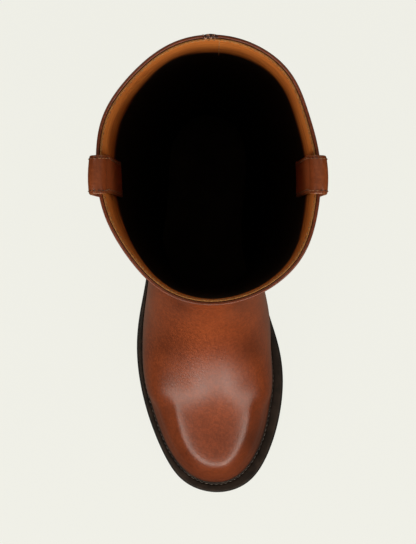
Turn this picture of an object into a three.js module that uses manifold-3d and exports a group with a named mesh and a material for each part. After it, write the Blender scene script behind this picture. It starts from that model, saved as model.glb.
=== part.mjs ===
// Knee-high pull-on boot, right foot.
// Millimetres, +Z up, toe towards -Y, medial (inner) side towards +X.
// The origin is the middle of the heel's flat underside.
// "forward" is the distance in front of the back of the sole.

import * as THREE from 'three';
import { mergeVertices } from 'three/addons/utils/BufferGeometryUtils.js';
import Module from 'manifold-3d';

// ---------------------------------------------------------------- sizes

const HEEL_CENTRE = 34;          // forward position of the origin
const BOOT_HEIGHT = 400;         // floor to the collar edge
const WALL = 2.3;                // upper leather with its lining
const GAP = 0.3;                 // play between touching pieces

const SOLE_BACK = 0;
const SOLE_FRONT = 275.9;
const SOLE_TIP_X = 6.5;
const SOLE_SPINE = [24, 256];    // ends of the line its plate faces run in from
const INSOLE_SPINE = [30, 250];
const FEATHER_BACK = 6.5;        // the feather line is the upper's lower edge
const FEATHER_FRONT = 268.2;
const FEATHER_TIP_X = 5.4;

const WELT_THICKNESS = 3.5;
const WELT_SET_BACK = 1.2;       // welt edge inside the outsole edge
const WELT_UNDER_UPPER = 3.0;    // welt reaching in under the upper
const INSOLE_THICKNESS = 5;

const HEEL_BREAST = 66;          // front face of the heel
const HEEL_SET_BACK = 0.8;
const HEEL_TAPER = 2.2;          // each side, top to bottom
const LIFT_THICKNESS = 6;
const LIFT_GROOVE_DEPTH = 1.6;

const LUG_DEPTH = 3;
const LUG_LENGTH = 9;
const LUG_PITCH = 14.2;
const LUG_INSET = 4;
const LUG_FIRST = 146;
const LUG_COUNT = 9;
const LUG_ROOT = 0.8;            // how far a lug's top runs into the sole

const STRAP_WIDTH = 19.4;
const STRAP_THICKNESS = 2.2;
const STRAP_FORWARD = 70.8;      // middle of each strap

// ---------------------------------------------------------------- section tables

// Outline of the outsole: half widths from the long axis.
const SOLE_OUTLINE = [
  { forward: 9, lateral: 22.6, medial: 22.6 },
  { forward: 33, lateral: 33, medial: 33 },
  { forward: 60, lateral: 34.4, medial: 31.8 },
  { forward: 85, lateral: 37.6, medial: 29.6 },
  { forward: 108, lateral: 41.2, medial: 31.6 },
  { forward: 132, lateral: 45.4, medial: 38.2 },
  { forward: 152, lateral: 49.2, medial: 44.4 },
  { forward: 172, lateral: 50.9, medial: 50.5 },
  { forward: 196, lateral: 48.9, medial: 53.6 },
  { forward: 218, lateral: 43.8, medial: 51.8 },
  { forward: 238, lateral: 36.6, medial: 46.9 },
  { forward: 254, lateral: 28.8, medial: 40.2 },
  { forward: 267, lateral: 18.6, medial: 30.6 },
];

// Feather line: where the upper meets the welt.
const FEATHER_OUTLINE = [
  { forward: 15, lateral: 20.6, medial: 20.6 },
  { forward: 36, lateral: 29.4, medial: 29.4 },
  { forward: 60, lateral: 30.8, medial: 28.6 },
  { forward: 85, lateral: 33.6, medial: 26.8 },
  { forward: 108, lateral: 37.2, medial: 28.4 },
  { forward: 132, lateral: 40.8, medial: 34.2 },
  { forward: 152, lateral: 43.6, medial: 39.6 },
  { forward: 172, lateral: 44.6, medial: 42.6 },
  { forward: 196, lateral: 43.2, medial: 44.6 },
  { forward: 218, lateral: 37.4, medial: 42.2 },
  { forward: 238, lateral: 30, medial: 37.4 },
  { forward: 251, lateral: 22.8, medial: 31.2 },
  { forward: 262, lateral: 12.6, medial: 22.2 },
];

// Height of the outsole's top face, and of the tread line under it.
// A tread below the floor stands for a stretch pressed flat on it.
const SOLE_PROFILE = [
  { forward: -10, top: 38, tread: 33 },
  { forward: 20, top: 38, tread: 33 },
  { forward: 55, top: 37.8, tread: 32.8 },
  { forward: 80, top: 34.4, tread: 29.2 },
  { forward: 100, top: 28.4, tread: 22.8 },
  { forward: 120, top: 20.6, tread: 14.6 },
  { forward: 140, top: 13.2, tread: 6.6 },
  { forward: 158, top: 8.8, tread: 1.7 },
  { forward: 170, top: 7.4, tread: 0.1 },
  { forward: 190, top: 7.2, tread: -0.6 },
  { forward: 208, top: 7.5, tread: 0.1 },
  { forward: 225, top: 8.4, tread: 1.2 },
  { forward: 250, top: 11.2, tread: 4 },
  { forward: 278, top: 15.6, tread: 8.4 },
];

// Centre-line profile of the upper's front, from the toe up to the collar.
const FRONT_PROFILE = [
  { forward: 268.2, height: 18 },
  { forward: 267.9, height: 24 },
  { forward: 265.9, height: 31 },
  { forward: 261, height: 36.6 },
  { forward: 252, height: 40.2 },
  { forward: 238, height: 43.2 },
  { forward: 222, height: 46.6 },
  { forward: 206, height: 51.4 },
  { forward: 192, height: 58 },
  { forward: 178, height: 67 },
  { forward: 165, height: 78.6 },
  { forward: 154, height: 92.6 },
  { forward: 146, height: 108 },
  { forward: 140, height: 126 },
  { forward: 136, height: 147 },
  { forward: 133.6, height: 172 },
  { forward: 132.4, height: 205 },
  { forward: 132.2, height: 260 },
  { forward: 134, height: 330 },
  { forward: 136.1, height: 400 },
];

// Horizontal sections of the heel and leg: half width, and fullness of its oval.
const LEG_SECTIONS = [
  { height: 30, back: 7.5, half: 30, backFullness: 2.9, frontFullness: 2.9 },
  { height: 42, back: 6.5, half: 31.2, backFullness: 2.85, frontFullness: 2.85 },
  { height: 60, back: 4.8, half: 34.2, backFullness: 2.7, frontFullness: 2.7 },
  { height: 80, back: 6.6, half: 35.8, backFullness: 2.5, frontFullness: 2.5 },
  { height: 100, back: 10.4, half: 35.6, backFullness: 2.3, frontFullness: 2.3 },
  { height: 125, back: 14, half: 35, backFullness: 2.15, frontFullness: 2.2 },
  { height: 150, back: 14.6, half: 35.8, backFullness: 2.1, frontFullness: 2.15 },
  { height: 200, back: 9.6, half: 40.2, backFullness: 2.05, frontFullness: 2.1 },
  { height: 250, back: 3.8, half: 45.6, backFullness: 2.05, frontFullness: 2.1 },
  { height: 300, back: 0, half: 50.8, backFullness: 2.05, frontFullness: 2.15 },
  { height: 350, back: -1.3, half: 54.6, backFullness: 2.1, frontFullness: 2.15 },
  { height: 400, back: -0.6, half: 56.7, backFullness: 2.04, frontFullness: 2.06 },
];

// Middle line of the collar from its back to its front; it fades out down the leg.
const COLLAR_LINE = [
  { share: 0, middle: 1.7 },
  { share: 0.1, middle: 2.2 },
  { share: 0.28, middle: -0.8 },
  { share: 0.45, middle: -0.1 },
  { share: 0.68, middle: 1.6 },
  { share: 0.86, middle: 3.7 },
  { share: 1, middle: 1.8 },
];

// Roundness of the foot's upright sections and the line its ridge follows.
const FOOT_SECTIONS = [
  { forward: 0, ridge: 0, roundness: 2.3 },
  { forward: 60, ridge: 0.2, roundness: 2.2 },
  { forward: 130, ridge: 2, roundness: 2 },
  { forward: 165, ridge: 3.2, roundness: 1.85 },
  { forward: 190, ridge: 4.1, roundness: 1.8 },
  { forward: 212, ridge: 4.6, roundness: 2.1 },
  { forward: 245, ridge: 5.2, roundness: 2.35 },
  { forward: 268.2, ridge: 5.4, roundness: 2.5 },
];

// Centre line of a pull strap: distance outside the wall's outer face, and height.
const STRAP_PATH = [
  { out: 1.4, height: 352 },
  { out: 1.4, height: 368 },
  { out: 1.4, height: 384 },
  { out: 1.5, height: 396 },
  { out: 2, height: 403 },
  { out: 1.9, height: 408 },
  { out: 0.6, height: 412.2 },
  { out: -1.9, height: 413.8 },
  { out: -4.3, height: 411.8 },
  { out: -5.2, height: 407 },
  { out: -4.9, height: 400 },
  { out: -4.4, height: 390 },
  { out: -4.1, height: 380 },
  { out: -3.9, height: 360 },
  { out: -3.85, height: 340 },
  { out: -3.85, height: 322 },
];

// ---------------------------------------------------------------- curves

// Natural cubic curve through a table's rows.
function curve(xs, ys) {
  const count = xs.length;
  const bend = new Array(count).fill(0);
  const work = new Array(count).fill(0);
  for (let i = 1; i < count - 1; i += 1) {
    const share = (xs[i] - xs[i - 1]) / (xs[i + 1] - xs[i - 1]);
    const pivot = share * bend[i - 1] + 2;
    const after = (ys[i + 1] - ys[i]) / (xs[i + 1] - xs[i]);
    const before = (ys[i] - ys[i - 1]) / (xs[i] - xs[i - 1]);
    bend[i] = (share - 1) / pivot;
    work[i] = ((6 * (after - before)) / (xs[i + 1] - xs[i - 1]) - share * work[i - 1]) / pivot;
  }
  for (let i = count - 2; i > 0; i -= 1) bend[i] = bend[i] * bend[i + 1] + work[i];
  bend[0] = 0;
  bend[count - 1] = 0;
  return (value) => {
    const x = Math.min(Math.max(value, xs[0]), xs[count - 1]);
    let i = 0;
    while (i < count - 2 && xs[i + 1] < x) i += 1;
    const step = xs[i + 1] - xs[i];
    const a = (xs[i + 1] - x) / step;
    const b = 1 - a;
    const sag = ((a * a * a - a) * bend[i] + (b * b * b - b) * bend[i + 1]) * step * step / 6;
    return a * ys[i] + b * ys[i + 1] + sag;
  };
}

function column(table, key, value) {
  return curve(table.map((row) => row[key]), table.map((row) => row[value]));
}

function ease(from, to, value) {
  const share = Math.min(Math.max((value - from) / (to - from), 0), 1);
  return share * share * (3 - 2 * share);
}

function mix(a, b, share) {
  return a + (b - a) * share;
}

// A closed outline: turn 0 is the back, half a turn is the toe.
// It runs along the medial side first and comes back along the lateral side.
function outline(table, back, front, tipX) {
  const turnOf = (forward) => Math.acos(1 - 2 * (forward - back) / (front - back));
  const loop = [{ turn: 0, x: 0 }];
  table.forEach((row) => loop.push({ turn: turnOf(row.forward), x: row.medial }));
  loop.push({ turn: Math.PI, x: tipX });
  [...table].reverse().forEach((row) => {
    loop.push({ turn: 2 * Math.PI - turnOf(row.forward), x: -row.lateral });
  });
  const knots = [-1, 0, 1].flatMap((lap) => (
    loop.map((knot) => ({ turn: knot.turn + lap * 2 * Math.PI, x: knot.x }))
  ));
  const across = curve(knots.map((knot) => knot.turn), knots.map((knot) => knot.x));
  const at = (turn) => [across(turn), back + (front - back) * (1 - Math.cos(turn)) / 2];
  const offset = (turn, inward) => {
    const [x, forward] = at(turn);
    const [x1, forward1] = at(turn + 0.01);
    const [x0, forward0] = at(turn - 0.01);
    const length = Math.hypot(x1 - x0, forward1 - forward0);
    return [
      x - inward * (forward1 - forward0) / length,
      forward + inward * (x1 - x0) / length,
    ];
  };
  return { at, offset, turnOf };
}

const sole = outline(SOLE_OUTLINE, SOLE_BACK, SOLE_FRONT, SOLE_TIP_X);
const feather = outline(FEATHER_OUTLINE, FEATHER_BACK, FEATHER_FRONT, FEATHER_TIP_X);
const soleTop = column(SOLE_PROFILE, 'forward', 'top');
const treadLine = column(SOLE_PROFILE, 'forward', 'tread');
const tread = (forward) => Math.max(treadLine(forward), 0);
const featherHeight = (forward) => soleTop(forward) + WELT_THICKNESS + 2 * GAP;
const soleBase = (forward) => tread(forward) + LUG_DEPTH * ease(136, 150, forward);

// ---------------------------------------------------------------- form of the upper

// The profile as one smooth line, measured along its length.
const profileLengths = [0];
for (let i = 1; i < FRONT_PROFILE.length; i += 1) {
  const a = FRONT_PROFILE[i - 1];
  const b = FRONT_PROFILE[i];
  profileLengths.push(profileLengths[i - 1] + Math.hypot(b.forward - a.forward, b.height - a.height));
}
const profileForward = curve(profileLengths, FRONT_PROFILE.map((row) => row.forward));
const profileHeight = curve(profileLengths, FRONT_PROFILE.map((row) => row.height));
const profileTotal = profileLengths[profileLengths.length - 1];
const profileDots = Array.from({ length: 1201 }, (_, i) => {
  const place = profileTotal * i / 1200;
  return { forward: profileForward(place), height: profileHeight(place) };
});

// Straight-line reading between rising samples.
function reading(samples) {
  return (value) => {
    let low = 0;
    let high = samples.length - 1;
    if (value <= samples[low][0]) return samples[low][1];
    if (value >= samples[high][0]) return samples[high][1];
    while (high - low > 1) {
      const half = (low + high) >> 1;
      if (samples[half][0] <= value) low = half;
      else high = half;
    }
    const share = (value - samples[low][0]) / (samples[high][0] - samples[low][0]);
    return mix(samples[low][1], samples[high][1], share);
  };
}

const frontOf = reading(profileDots.map((dot) => [dot.height, dot.forward]));
const overFoot = profileDots.filter((dot) => dot.height < 165).reverse();
const ridgeHigh = reading([
  [60, 900],
  [100, 520],
  [120, 300],
  [129, 200],
  ...overFoot.map((dot) => [dot.forward, dot.height]),
]);
const ridgeX = column(FOOT_SECTIONS, 'forward', 'ridge');
const roundness = column(FOOT_SECTIONS, 'forward', 'roundness');
const legBack = column(LEG_SECTIONS, 'height', 'back');
const legHalf = column(LEG_SECTIONS, 'height', 'half');
const legBackFullness = column(LEG_SECTIONS, 'height', 'backFullness');
const legFrontFullness = column(LEG_SECTIONS, 'height', 'frontFullness');
const collarLine = column(COLLAR_LINE, 'share', 'middle');

// Half width of the foot at one place in the side view, from its upright section.
function footWidth(forward, height, side) {
  const shift = (FEATHER_BACK - legBack(height)) * (1 - ease(10, 70, forward));
  const along = Math.min(Math.max(forward + shift, FEATHER_BACK), FEATHER_FRONT);
  const turn = feather.turnOf(along);
  const edge = side > 0 ? feather.at(turn)[0] : feather.at(2 * Math.PI - turn)[0];
  const low = Math.abs(edge - ridgeX(along));
  const floor = featherHeight(forward);
  const top = Math.max(ridgeHigh(forward), floor + 0.01);
  const breast = Math.min(floor + 0.26 * (top - floor), floor + 14);
  const swell = side > 0 ? mix(0.18, 0.03, ease(120, 185, forward)) : 0.035;
  const widest = low * (1 + swell);
  if (height <= breast) return mix(low, widest, ease(floor - 6, breast, height) * 1.2 - 0.2);
  const rise = Math.min((height - breast) / (top - breast), 1);
  const power = roundness(forward);
  return widest * (1 - rise ** power) ** (1 / power);
}

// Half width of the heel and leg, from its horizontal section.
function legWidth(forward, height) {
  const share = legShare(forward, height);
  const power = mix(legBackFullness(height), legFrontFullness(height), ease(0.35, 0.65, share));
  return legHalf(height) * (1 - Math.abs(2 * share - 1) ** power) ** (1 / power);
}

function legShare(forward, height) {
  const back = legBack(height);
  return Math.min(Math.max((forward - back) / (frontOf(height) - back), 0), 1);
}

function legMiddle(forward, height) {
  return mix(1, collarLine(legShare(forward, height)), ease(140, 400, height));
}

// A place on the upper's outside: ring from the toe profile, turn round the ring.
function upperPoint(profile, turn) {
  const rise = profile.height;
  const lift = 1 - ease(40, 180, rise);
  const backHeight = rise + (featherHeight(FEATHER_BACK) - 18) * lift;
  const share = (1 - Math.cos(turn)) / 2;
  const back = legBack(backHeight);
  const forward = mix(back, profile.forward, share);
  const under = mix(FEATHER_BACK, FEATHER_FRONT, share);
  const chord = mix(featherHeight(FEATHER_BACK), featherHeight(FEATHER_FRONT), share);
  const sag = (featherHeight(under) - chord) * (1 - ease(18, 100, rise));
  const height = mix(backHeight, rise, share) + sag;
  const side = turn < Math.PI ? 1 : -1;
  const tilt = height - 0.35 * (forward - 60);
  const leg = ease(35, 100, tilt) * ease(0, 25, height - featherHeight(forward));
  const foot = leg < 1 ? footWidth(forward, height, side) : 0;
  const shank = leg > 0 ? legWidth(forward, height) : 0;
  const middle = mix(ridgeX(forward), legMiddle(forward, height), ease(60, 140, height));
  return [middle + side * mix(foot, shank, leg), forward, height];
}

// The profile cut into rings, closer together over the foot than up the leg.
function upperProfiles(count) {
  return Array.from({ length: count + 1 }, (_, i) => {
    const share = i / count;
    const place = profileTotal * (0.6 * share + 0.4 * share * share);
    return { forward: profileForward(place), height: profileHeight(place) };
  });
}

// ---------------------------------------------------------------- meshes

function world(point) {
  return [point[0], HEEL_CENTRE - point[1], point[2]];
}

// Faces between neighbouring rows of points; each row is a closed loop of equal length.
function bands(rows, wrap) {
  const across = rows[0].length;
  const faces = [];
  const joins = wrap ? rows.length : rows.length - 1;
  for (let i = 0; i < joins; i += 1) {
    for (let j = 0; j < across; j += 1) {
      const a = i * across + j;
      const b = i * across + (j + 1) % across;
      const c = ((i + 1) % rows.length) * across + (j + 1) % across;
      const d = ((i + 1) % rows.length) * across + j;
      faces.push([a, b, c], [a, c, d]);
    }
  }
  return faces;
}

// A solid from rows of points.
// With wrap the last row joins the first, without it the rows' ends are closed by fans.
function solid(rows, wrap) {
  const across = rows[0].length;
  const points = rows.flat();
  const faces = bands(rows, wrap);
  if (!wrap) {
    const middle = (row) => row.reduce(
      (sum, point) => sum.map((value, axis) => value + point[axis] / row.length), [0, 0, 0],
    );
    const first = points.push(middle(rows[0])) - 1;
    const last = points.push(middle(rows[rows.length - 1])) - 1;
    const end = (rows.length - 1) * across;
    for (let j = 0; j < across; j += 1) {
      faces.push([first, (j + 1) % across, j]);
      faces.push([last, end + j, end + (j + 1) % across]);
    }
  }
  return tidy(points.map(world), faces);
}

// Merges equal points, drops flat faces and turns the faces outwards.
function tidy(points, faces) {
  const seen = new Map();
  const kept = [];
  const index = points.map((point) => {
    const key = point.map((value) => Math.round(value * 1000)).join();
    if (!seen.has(key)) {
      seen.set(key, kept.length);
      kept.push(point);
    }
    return seen.get(key);
  });
  let used = faces.map((face) => face.map((i) => index[i]));
  used = used.filter(([a, b, c]) => a !== b && b !== c && c !== a);
  const volume = used.reduce((sum, [a, b, c]) => {
    const [p, q, r] = [kept[a], kept[b], kept[c]];
    return sum + p[0] * (q[1] * r[2] - q[2] * r[1])
      + p[1] * (q[2] * r[0] - q[0] * r[2])
      + p[2] * (q[0] * r[1] - q[1] * r[0]);
  }, 0);
  if (volume < 0) used = used.map(([a, b, c]) => [a, c, b]);
  return { points: kept, faces: used };
}

// A plate inside a closed outline, with its own top and bottom heights.
function plate(edge, count, shares, spineBack, spineFront, top, bottom) {
  const ring = (share, level) => {
    const row = [];
    for (let j = 0; j < count; j += 1) {
      const turn = 2 * Math.PI * j / count;
      const [x, forward] = edge(turn);
      const along = mix(spineBack, spineFront, (1 - Math.cos(turn)) / 2);
      const point = [mix(ridgeX(along), x, share), mix(along, forward, share)];
      row.push([...point, level(point[1])]);
    }
    return row;
  };
  const rows = [
    ...shares.map((share) => ring(share, top)),
    ...[...shares].reverse().map((share) => ring(share, bottom)),
  ];
  return tidy(rows.flat().map(world), bands(rows, false));
}

const wasm = await Module();
wasm.setup();

function toManifold(mesh) {
  return new wasm.Manifold(new wasm.Mesh({
    numProp: 3,
    vertProperties: new Float32Array(mesh.points.flat()),
    triVerts: new Uint32Array(mesh.faces.flat()),
  }));
}

function toGeometry(mesh) {
  const geometry = new THREE.BufferGeometry();
  geometry.setAttribute('position', new THREE.Float32BufferAttribute(mesh.points.flat(), 3));
  geometry.setIndex(mesh.faces.flat());
  geometry.computeVertexNormals();
  return geometry;
}

function fromManifold(manifold) {
  const mesh = manifold.getMesh();
  const geometry = new THREE.BufferGeometry();
  geometry.setAttribute('position', new THREE.Float32BufferAttribute(mesh.vertProperties, 3));
  geometry.setIndex(Array.from(mesh.triVerts));
  const merged = mergeVertices(geometry, 1e-4);
  merged.computeVertexNormals();
  return merged;
}

const group = new THREE.Group();

function addPiece(name, geometry, colour, roughness) {
  const material = new THREE.MeshStandardMaterial({ color: colour, roughness, metalness: 0 });
  const mesh = new THREE.Mesh(geometry, material);
  mesh.name = name;
  group.add(mesh);
}

// ---------------------------------------------------------------- upper

const UPPER_RINGS = 28;
const UPPER_TURNS = 56;

function upperRows() {
  const outer = upperProfiles(UPPER_RINGS).map((profile) => {
    const row = [];
    for (let j = 0; j < UPPER_TURNS; j += 1) {
      row.push(upperPoint(profile, 2 * Math.PI * j / UPPER_TURNS));
    }
    return row;
  });
  const inner = outer.map((row, i) => row.map((point, j) => {
    const below = outer[Math.max(i - 1, 0)][j];
    const above = outer[Math.min(i + 1, outer.length - 1)][j];
    const left = row[(j + UPPER_TURNS - 1) % UPPER_TURNS];
    const right = row[(j + 1) % UPPER_TURNS];
    const up = new THREE.Vector3(...above).sub(new THREE.Vector3(...below));
    const round = new THREE.Vector3(...right).sub(new THREE.Vector3(...left));
    const normal = up.cross(round);
    if (i === 0 || i === outer.length - 1) normal.z = 0;
    normal.normalize();
    return [
      point[0] + WALL * normal.x,
      point[1] + WALL * normal.y,
      point[2] + WALL * normal.z,
    ];
  }));
  return [...outer, ...inner.reverse()];
}

addPiece('upper', toGeometry(solid(upperRows(), true)), '#8a4a2c', 0.42);

// ---------------------------------------------------------------- welt

function loopOf(edge, count, level) {
  const row = [];
  for (let j = 0; j < count; j += 1) {
    const [x, forward] = edge(2 * Math.PI * j / count);
    row.push([x, forward, level(forward)]);
  }
  return row;
}

const weltOuter = (turn) => sole.offset(turn, WELT_SET_BACK);
const weltInner = (turn) => feather.offset(turn, WELT_UNDER_UPPER);
const weltTop = (forward) => soleTop(forward) + GAP + WELT_THICKNESS;
const weltBottom = (forward) => soleTop(forward) + GAP;

addPiece('welt', toGeometry(solid([
  loopOf(weltOuter, 72, weltBottom),
  loopOf(weltOuter, 72, weltTop),
  loopOf(weltInner, 72, weltTop),
  loopOf(weltInner, 72, weltBottom),
], true)), '#241f1c', 0.55);

// ---------------------------------------------------------------- insole

addPiece('insole', toGeometry(plate(
  (turn) => feather.offset(turn, WELT_UNDER_UPPER + GAP),
  64,
  [0, 0.5, 1],
  INSOLE_SPINE[0],
  INSOLE_SPINE[1],
  (forward) => soleTop(forward) + GAP + INSOLE_THICKNESS,
  (forward) => soleTop(forward) + GAP,
)), '#b98a5e', 0.8);

// ---------------------------------------------------------------- outsole

let outsole = toManifold(plate(
  (turn) => sole.at(turn),
  72,
  [0, 0.5, 1],
  SOLE_SPINE[0],
  SOLE_SPINE[1],
  soleTop,
  soleBase,
));

for (let i = 0; i < LUG_COUNT; i += 1) {
  const start = LUG_FIRST + i * LUG_PITCH;
  const stations = [start, start + LUG_LENGTH / 2, start + LUG_LENGTH];
  const rows = stations.map((forward) => {
    const turn = sole.turnOf(forward);
    const medial = sole.at(turn)[0] - LUG_INSET;
    const lateral = sole.at(2 * Math.PI - turn)[0] + LUG_INSET;
    const upTo = soleBase(forward) + LUG_ROOT;
    const down = tread(forward);
    return [
      [medial, forward, upTo],
      [lateral, forward, upTo],
      [lateral, forward, down],
      [medial, forward, down],
    ];
  });
  outsole = outsole.add(toManifold(solid(rows, false)));
}

addPiece('outsole', fromManifold(outsole), '#1f1b18', 0.6);

// ---------------------------------------------------------------- heel and top piece

const HEEL_STEPS = 22;
const BREAST_STEPS = 6;
const BREAST_HOLLOW = 3;
const LIFT_GROOVES = [13, 22.5, 45.5, 55];
const LIFT_GROOVE_WIDTH = 3;

// Plan loop of the heel: the sole's back, closed by a slightly hollow front face.
function heelLoop(inset, level) {
  const row = [];
  const breast = HEEL_BREAST - inset / 2;
  const turnBreast = sole.turnOf(HEEL_BREAST);
  for (let j = 0; j <= HEEL_STEPS; j += 1) {
    const turn = mix(turnBreast, -turnBreast, j / HEEL_STEPS);
    const [x, forward] = sole.offset(turn, inset);
    row.push([x, Math.min(forward, breast)]);
  }
  const [startX] = row[row.length - 1];
  const [endX] = row[0];
  for (let j = 1; j < BREAST_STEPS; j += 1) {
    const share = j / BREAST_STEPS;
    row.push([mix(startX, endX, share), breast - BREAST_HOLLOW * Math.sin(Math.PI * share)]);
  }
  return row.map(([x, forward]) => [x, forward, level(forward)]);
}

// Share 0 is the bottom of the top piece, share 1 the underside of the outsole.
const heelInset = (share) => HEEL_SET_BACK + HEEL_TAPER * (1 - share) ** 1.2;
const liftShare = LIFT_THICKNESS / tread(SOLE_BACK);
const blockBottom = LIFT_THICKNESS + GAP;

addPiece('heel', toGeometry(solid(
  [0, 0.3, 0.65, 1].map((share) => heelLoop(
    heelInset(mix(liftShare, 1, share)),
    (forward) => mix(blockBottom, tread(forward) - GAP, share),
  )),
  false,
)), '#2a221e', 0.5);

let lift = toManifold(solid([
  heelLoop(heelInset(0), () => 0),
  heelLoop(heelInset(liftShare), () => LIFT_THICKNESS),
], false));

for (const forward of LIFT_GROOVES) {
  const groove = new THREE.BoxGeometry(3 * HEEL_CENTRE, LIFT_GROOVE_WIDTH, 2 * LIFT_GROOVE_DEPTH);
  groove.translate(0, HEEL_CENTRE - forward, 0);
  groove.deleteAttribute('uv');
  groove.deleteAttribute('normal');
  const box = mergeVertices(groove, 1e-4);
  lift = lift.subtract(new wasm.Manifold(new wasm.Mesh({
    numProp: 3,
    vertProperties: new Float32Array(box.attributes.position.array),
    triVerts: new Uint32Array(box.index.array),
  })));
}

addPiece('heel_lift', fromManifold(lift), '#171412', 0.7);

// ---------------------------------------------------------------- pull straps

function strapRows(side) {
  const path = STRAP_PATH.map((row) => [row.out, row.height]);
  return path.map(([out, height], i) => {
    const before = path[Math.max(i - 1, 0)];
    const after = path[Math.min(i + 1, path.length - 1)];
    const length = Math.hypot(after[0] - before[0], after[1] - before[1]);
    const normal = [
      (after[1] - before[1]) / length,
      -(after[0] - before[0]) / length,
    ];
    const faceRow = (shift) => [-1, -0.5, 0, 0.5, 1].map((place) => {
      const forward = STRAP_FORWARD + place * STRAP_WIDTH / 2;
      const level = height + shift * normal[1];
      const wallHeight = Math.min(level, BOOT_HEIGHT);
      const wall = legWidth(forward, wallHeight) + out + shift * normal[0];
      return [legMiddle(forward, wallHeight) + side * wall, forward, level];
    });
    return [...faceRow(STRAP_THICKNESS / 2), ...faceRow(-STRAP_THICKNESS / 2).reverse()];
  });
}

function strap(side) {
  const rows = strapRows(side);
  const across = rows[0].length;
  const faces = bands(rows, false);
  const end = (rows.length - 1) * across;
  for (let j = 0; j < across / 2 - 1; j += 1) {
    const a = j;
    const b = j + 1;
    const c = across - 2 - j;
    const d = across - 1 - j;
    faces.push([a, c, b], [a, d, c]);
    faces.push([end + a, end + b, end + c], [end + a, end + c, end + d]);
  }
  return tidy(rows.flat().map(world), faces);
}

addPiece('pull_strap_lateral', toGeometry(strap(-1)), '#7a4026', 0.45);
addPiece('pull_strap_medial', toGeometry(strap(1)), '#7a4026', 0.45);

export default group;
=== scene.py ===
"""Right knee-high pull-on boot: burnished calf on a welted rubber sole with a stacked heel.

Lengths are millimetres and turn to metres where a mesh is made. "forward" is the distance in
front of the back of the sole and x points to the medial side. A "turn" goes round an outline
from the heel (0) along the medial side to the toe (half a turn) and back on the lateral side.
"""

import math

import bmesh
import bpy
import numpy as np
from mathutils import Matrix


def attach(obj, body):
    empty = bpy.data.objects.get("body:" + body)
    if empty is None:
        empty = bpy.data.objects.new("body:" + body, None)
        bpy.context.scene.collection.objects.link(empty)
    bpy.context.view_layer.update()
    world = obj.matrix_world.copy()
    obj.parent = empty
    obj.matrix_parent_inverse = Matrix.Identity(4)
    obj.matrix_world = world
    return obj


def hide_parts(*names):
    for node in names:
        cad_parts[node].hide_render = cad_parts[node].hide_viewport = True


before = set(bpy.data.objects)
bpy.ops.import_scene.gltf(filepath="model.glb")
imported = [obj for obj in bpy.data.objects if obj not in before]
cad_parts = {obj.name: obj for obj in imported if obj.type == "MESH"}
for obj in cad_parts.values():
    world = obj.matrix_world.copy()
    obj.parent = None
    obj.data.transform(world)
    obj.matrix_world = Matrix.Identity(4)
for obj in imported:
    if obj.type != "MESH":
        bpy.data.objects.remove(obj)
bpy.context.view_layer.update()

# ---------------------------------------------------------------- heel top piece
# The bottom lift of the heel: black moulded rubber with four grip grooves across it.
# It is glued and nailed under the stack, and its edge is ground in one line with it.

MM = 0.001
FULL_TURN = 2 * math.pi
HEEL_CENTRE = 34                 # forward place of the shared origin
SEAM_GAP = 0.06                  # glue line between two layers

SOLE_BACK, SOLE_FRONT, SOLE_TIP_X = 0, 275.9, 6.5
SOLE_OUTLINE = [                 # forward, lateral and medial half widths
    (9, 22.6, 22.6), (33, 33, 33), (60, 34.4, 31.8), (85, 37.6, 29.6), (108, 41.2, 31.6),
    (132, 45.4, 38.2), (152, 49.2, 44.4), (172, 50.9, 50.5), (196, 48.9, 53.6),
    (218, 43.8, 51.8), (238, 36.6, 46.9), (254, 28.8, 40.2), (267, 18.6, 30.6),
]
SOLE_LEVELS = [                  # forward, top of the outsole, tread line under it
    (-10, 38, 33), (20, 38, 33), (55, 37.8, 32.8), (80, 34.4, 29.2), (100, 28.4, 22.8),
    (120, 20.6, 14.6), (140, 13.2, 6.6), (158, 8.8, 1.7), (170, 7.4, 0.1), (190, 7.2, -0.6),
    (208, 7.5, 0.1), (225, 8.4, 1.2), (250, 11.2, 4), (278, 15.6, 8.4),
]

HEEL_BREAST = 66                 # forward place of the heel's front face
HEEL_SET_BACK = 0.8
HEEL_TAPER = 2.2
BREAST_HOLLOW = 3
CORNER_REACH, CORNER_PASSES, CORNER_SHARE = 2.4, 12, 0.8     # rounding of the breast's corners
LIFT_THICKNESS = 6
LIFT_GROOVES = (13, 22.5, 45.5, 55)
GROOVE_WIDTH, GROOVE_SLOPE, GROOVE_DEPTH = 3, 0.5, 1.6
EDGE_BREAK = 0.45                # the ground arris of a layer
WELD = 0.002                     # points closer than this are one


def curve(xs, ys):
    """Natural cubic through given knots, read with arrays and held at its ends."""
    xs, ys = np.array(xs, float), np.array(ys, float)
    count, gap, rise = len(xs), np.diff(xs), np.diff(ys) / np.diff(xs)
    system, pull = np.eye(count), np.zeros(count)
    for i in range(1, count - 1):
        system[i, i - 1:i + 2] = gap[i - 1], 2 * (gap[i - 1] + gap[i]), gap[i]
        pull[i] = 6 * (rise[i] - rise[i - 1])
    bend = np.linalg.solve(system, pull)

    def at(value):
        x = np.clip(value, xs[0], xs[-1])
        i = np.clip(np.searchsorted(xs, x) - 1, 0, count - 2)
        a = (xs[i + 1] - x) / gap[i]
        b = 1 - a
        sag = ((a ** 3 - a) * bend[i] + (b ** 3 - b) * bend[i + 1]) * gap[i] ** 2 / 6
        return a * ys[i] + b * ys[i + 1] + sag

    return at


def ease(start, end, value):
    share = np.clip((value - start) / (end - start), 0, 1)
    return share * share * (3 - 2 * share)


def mix(a, b, share):
    return a + (b - a) * share


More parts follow.
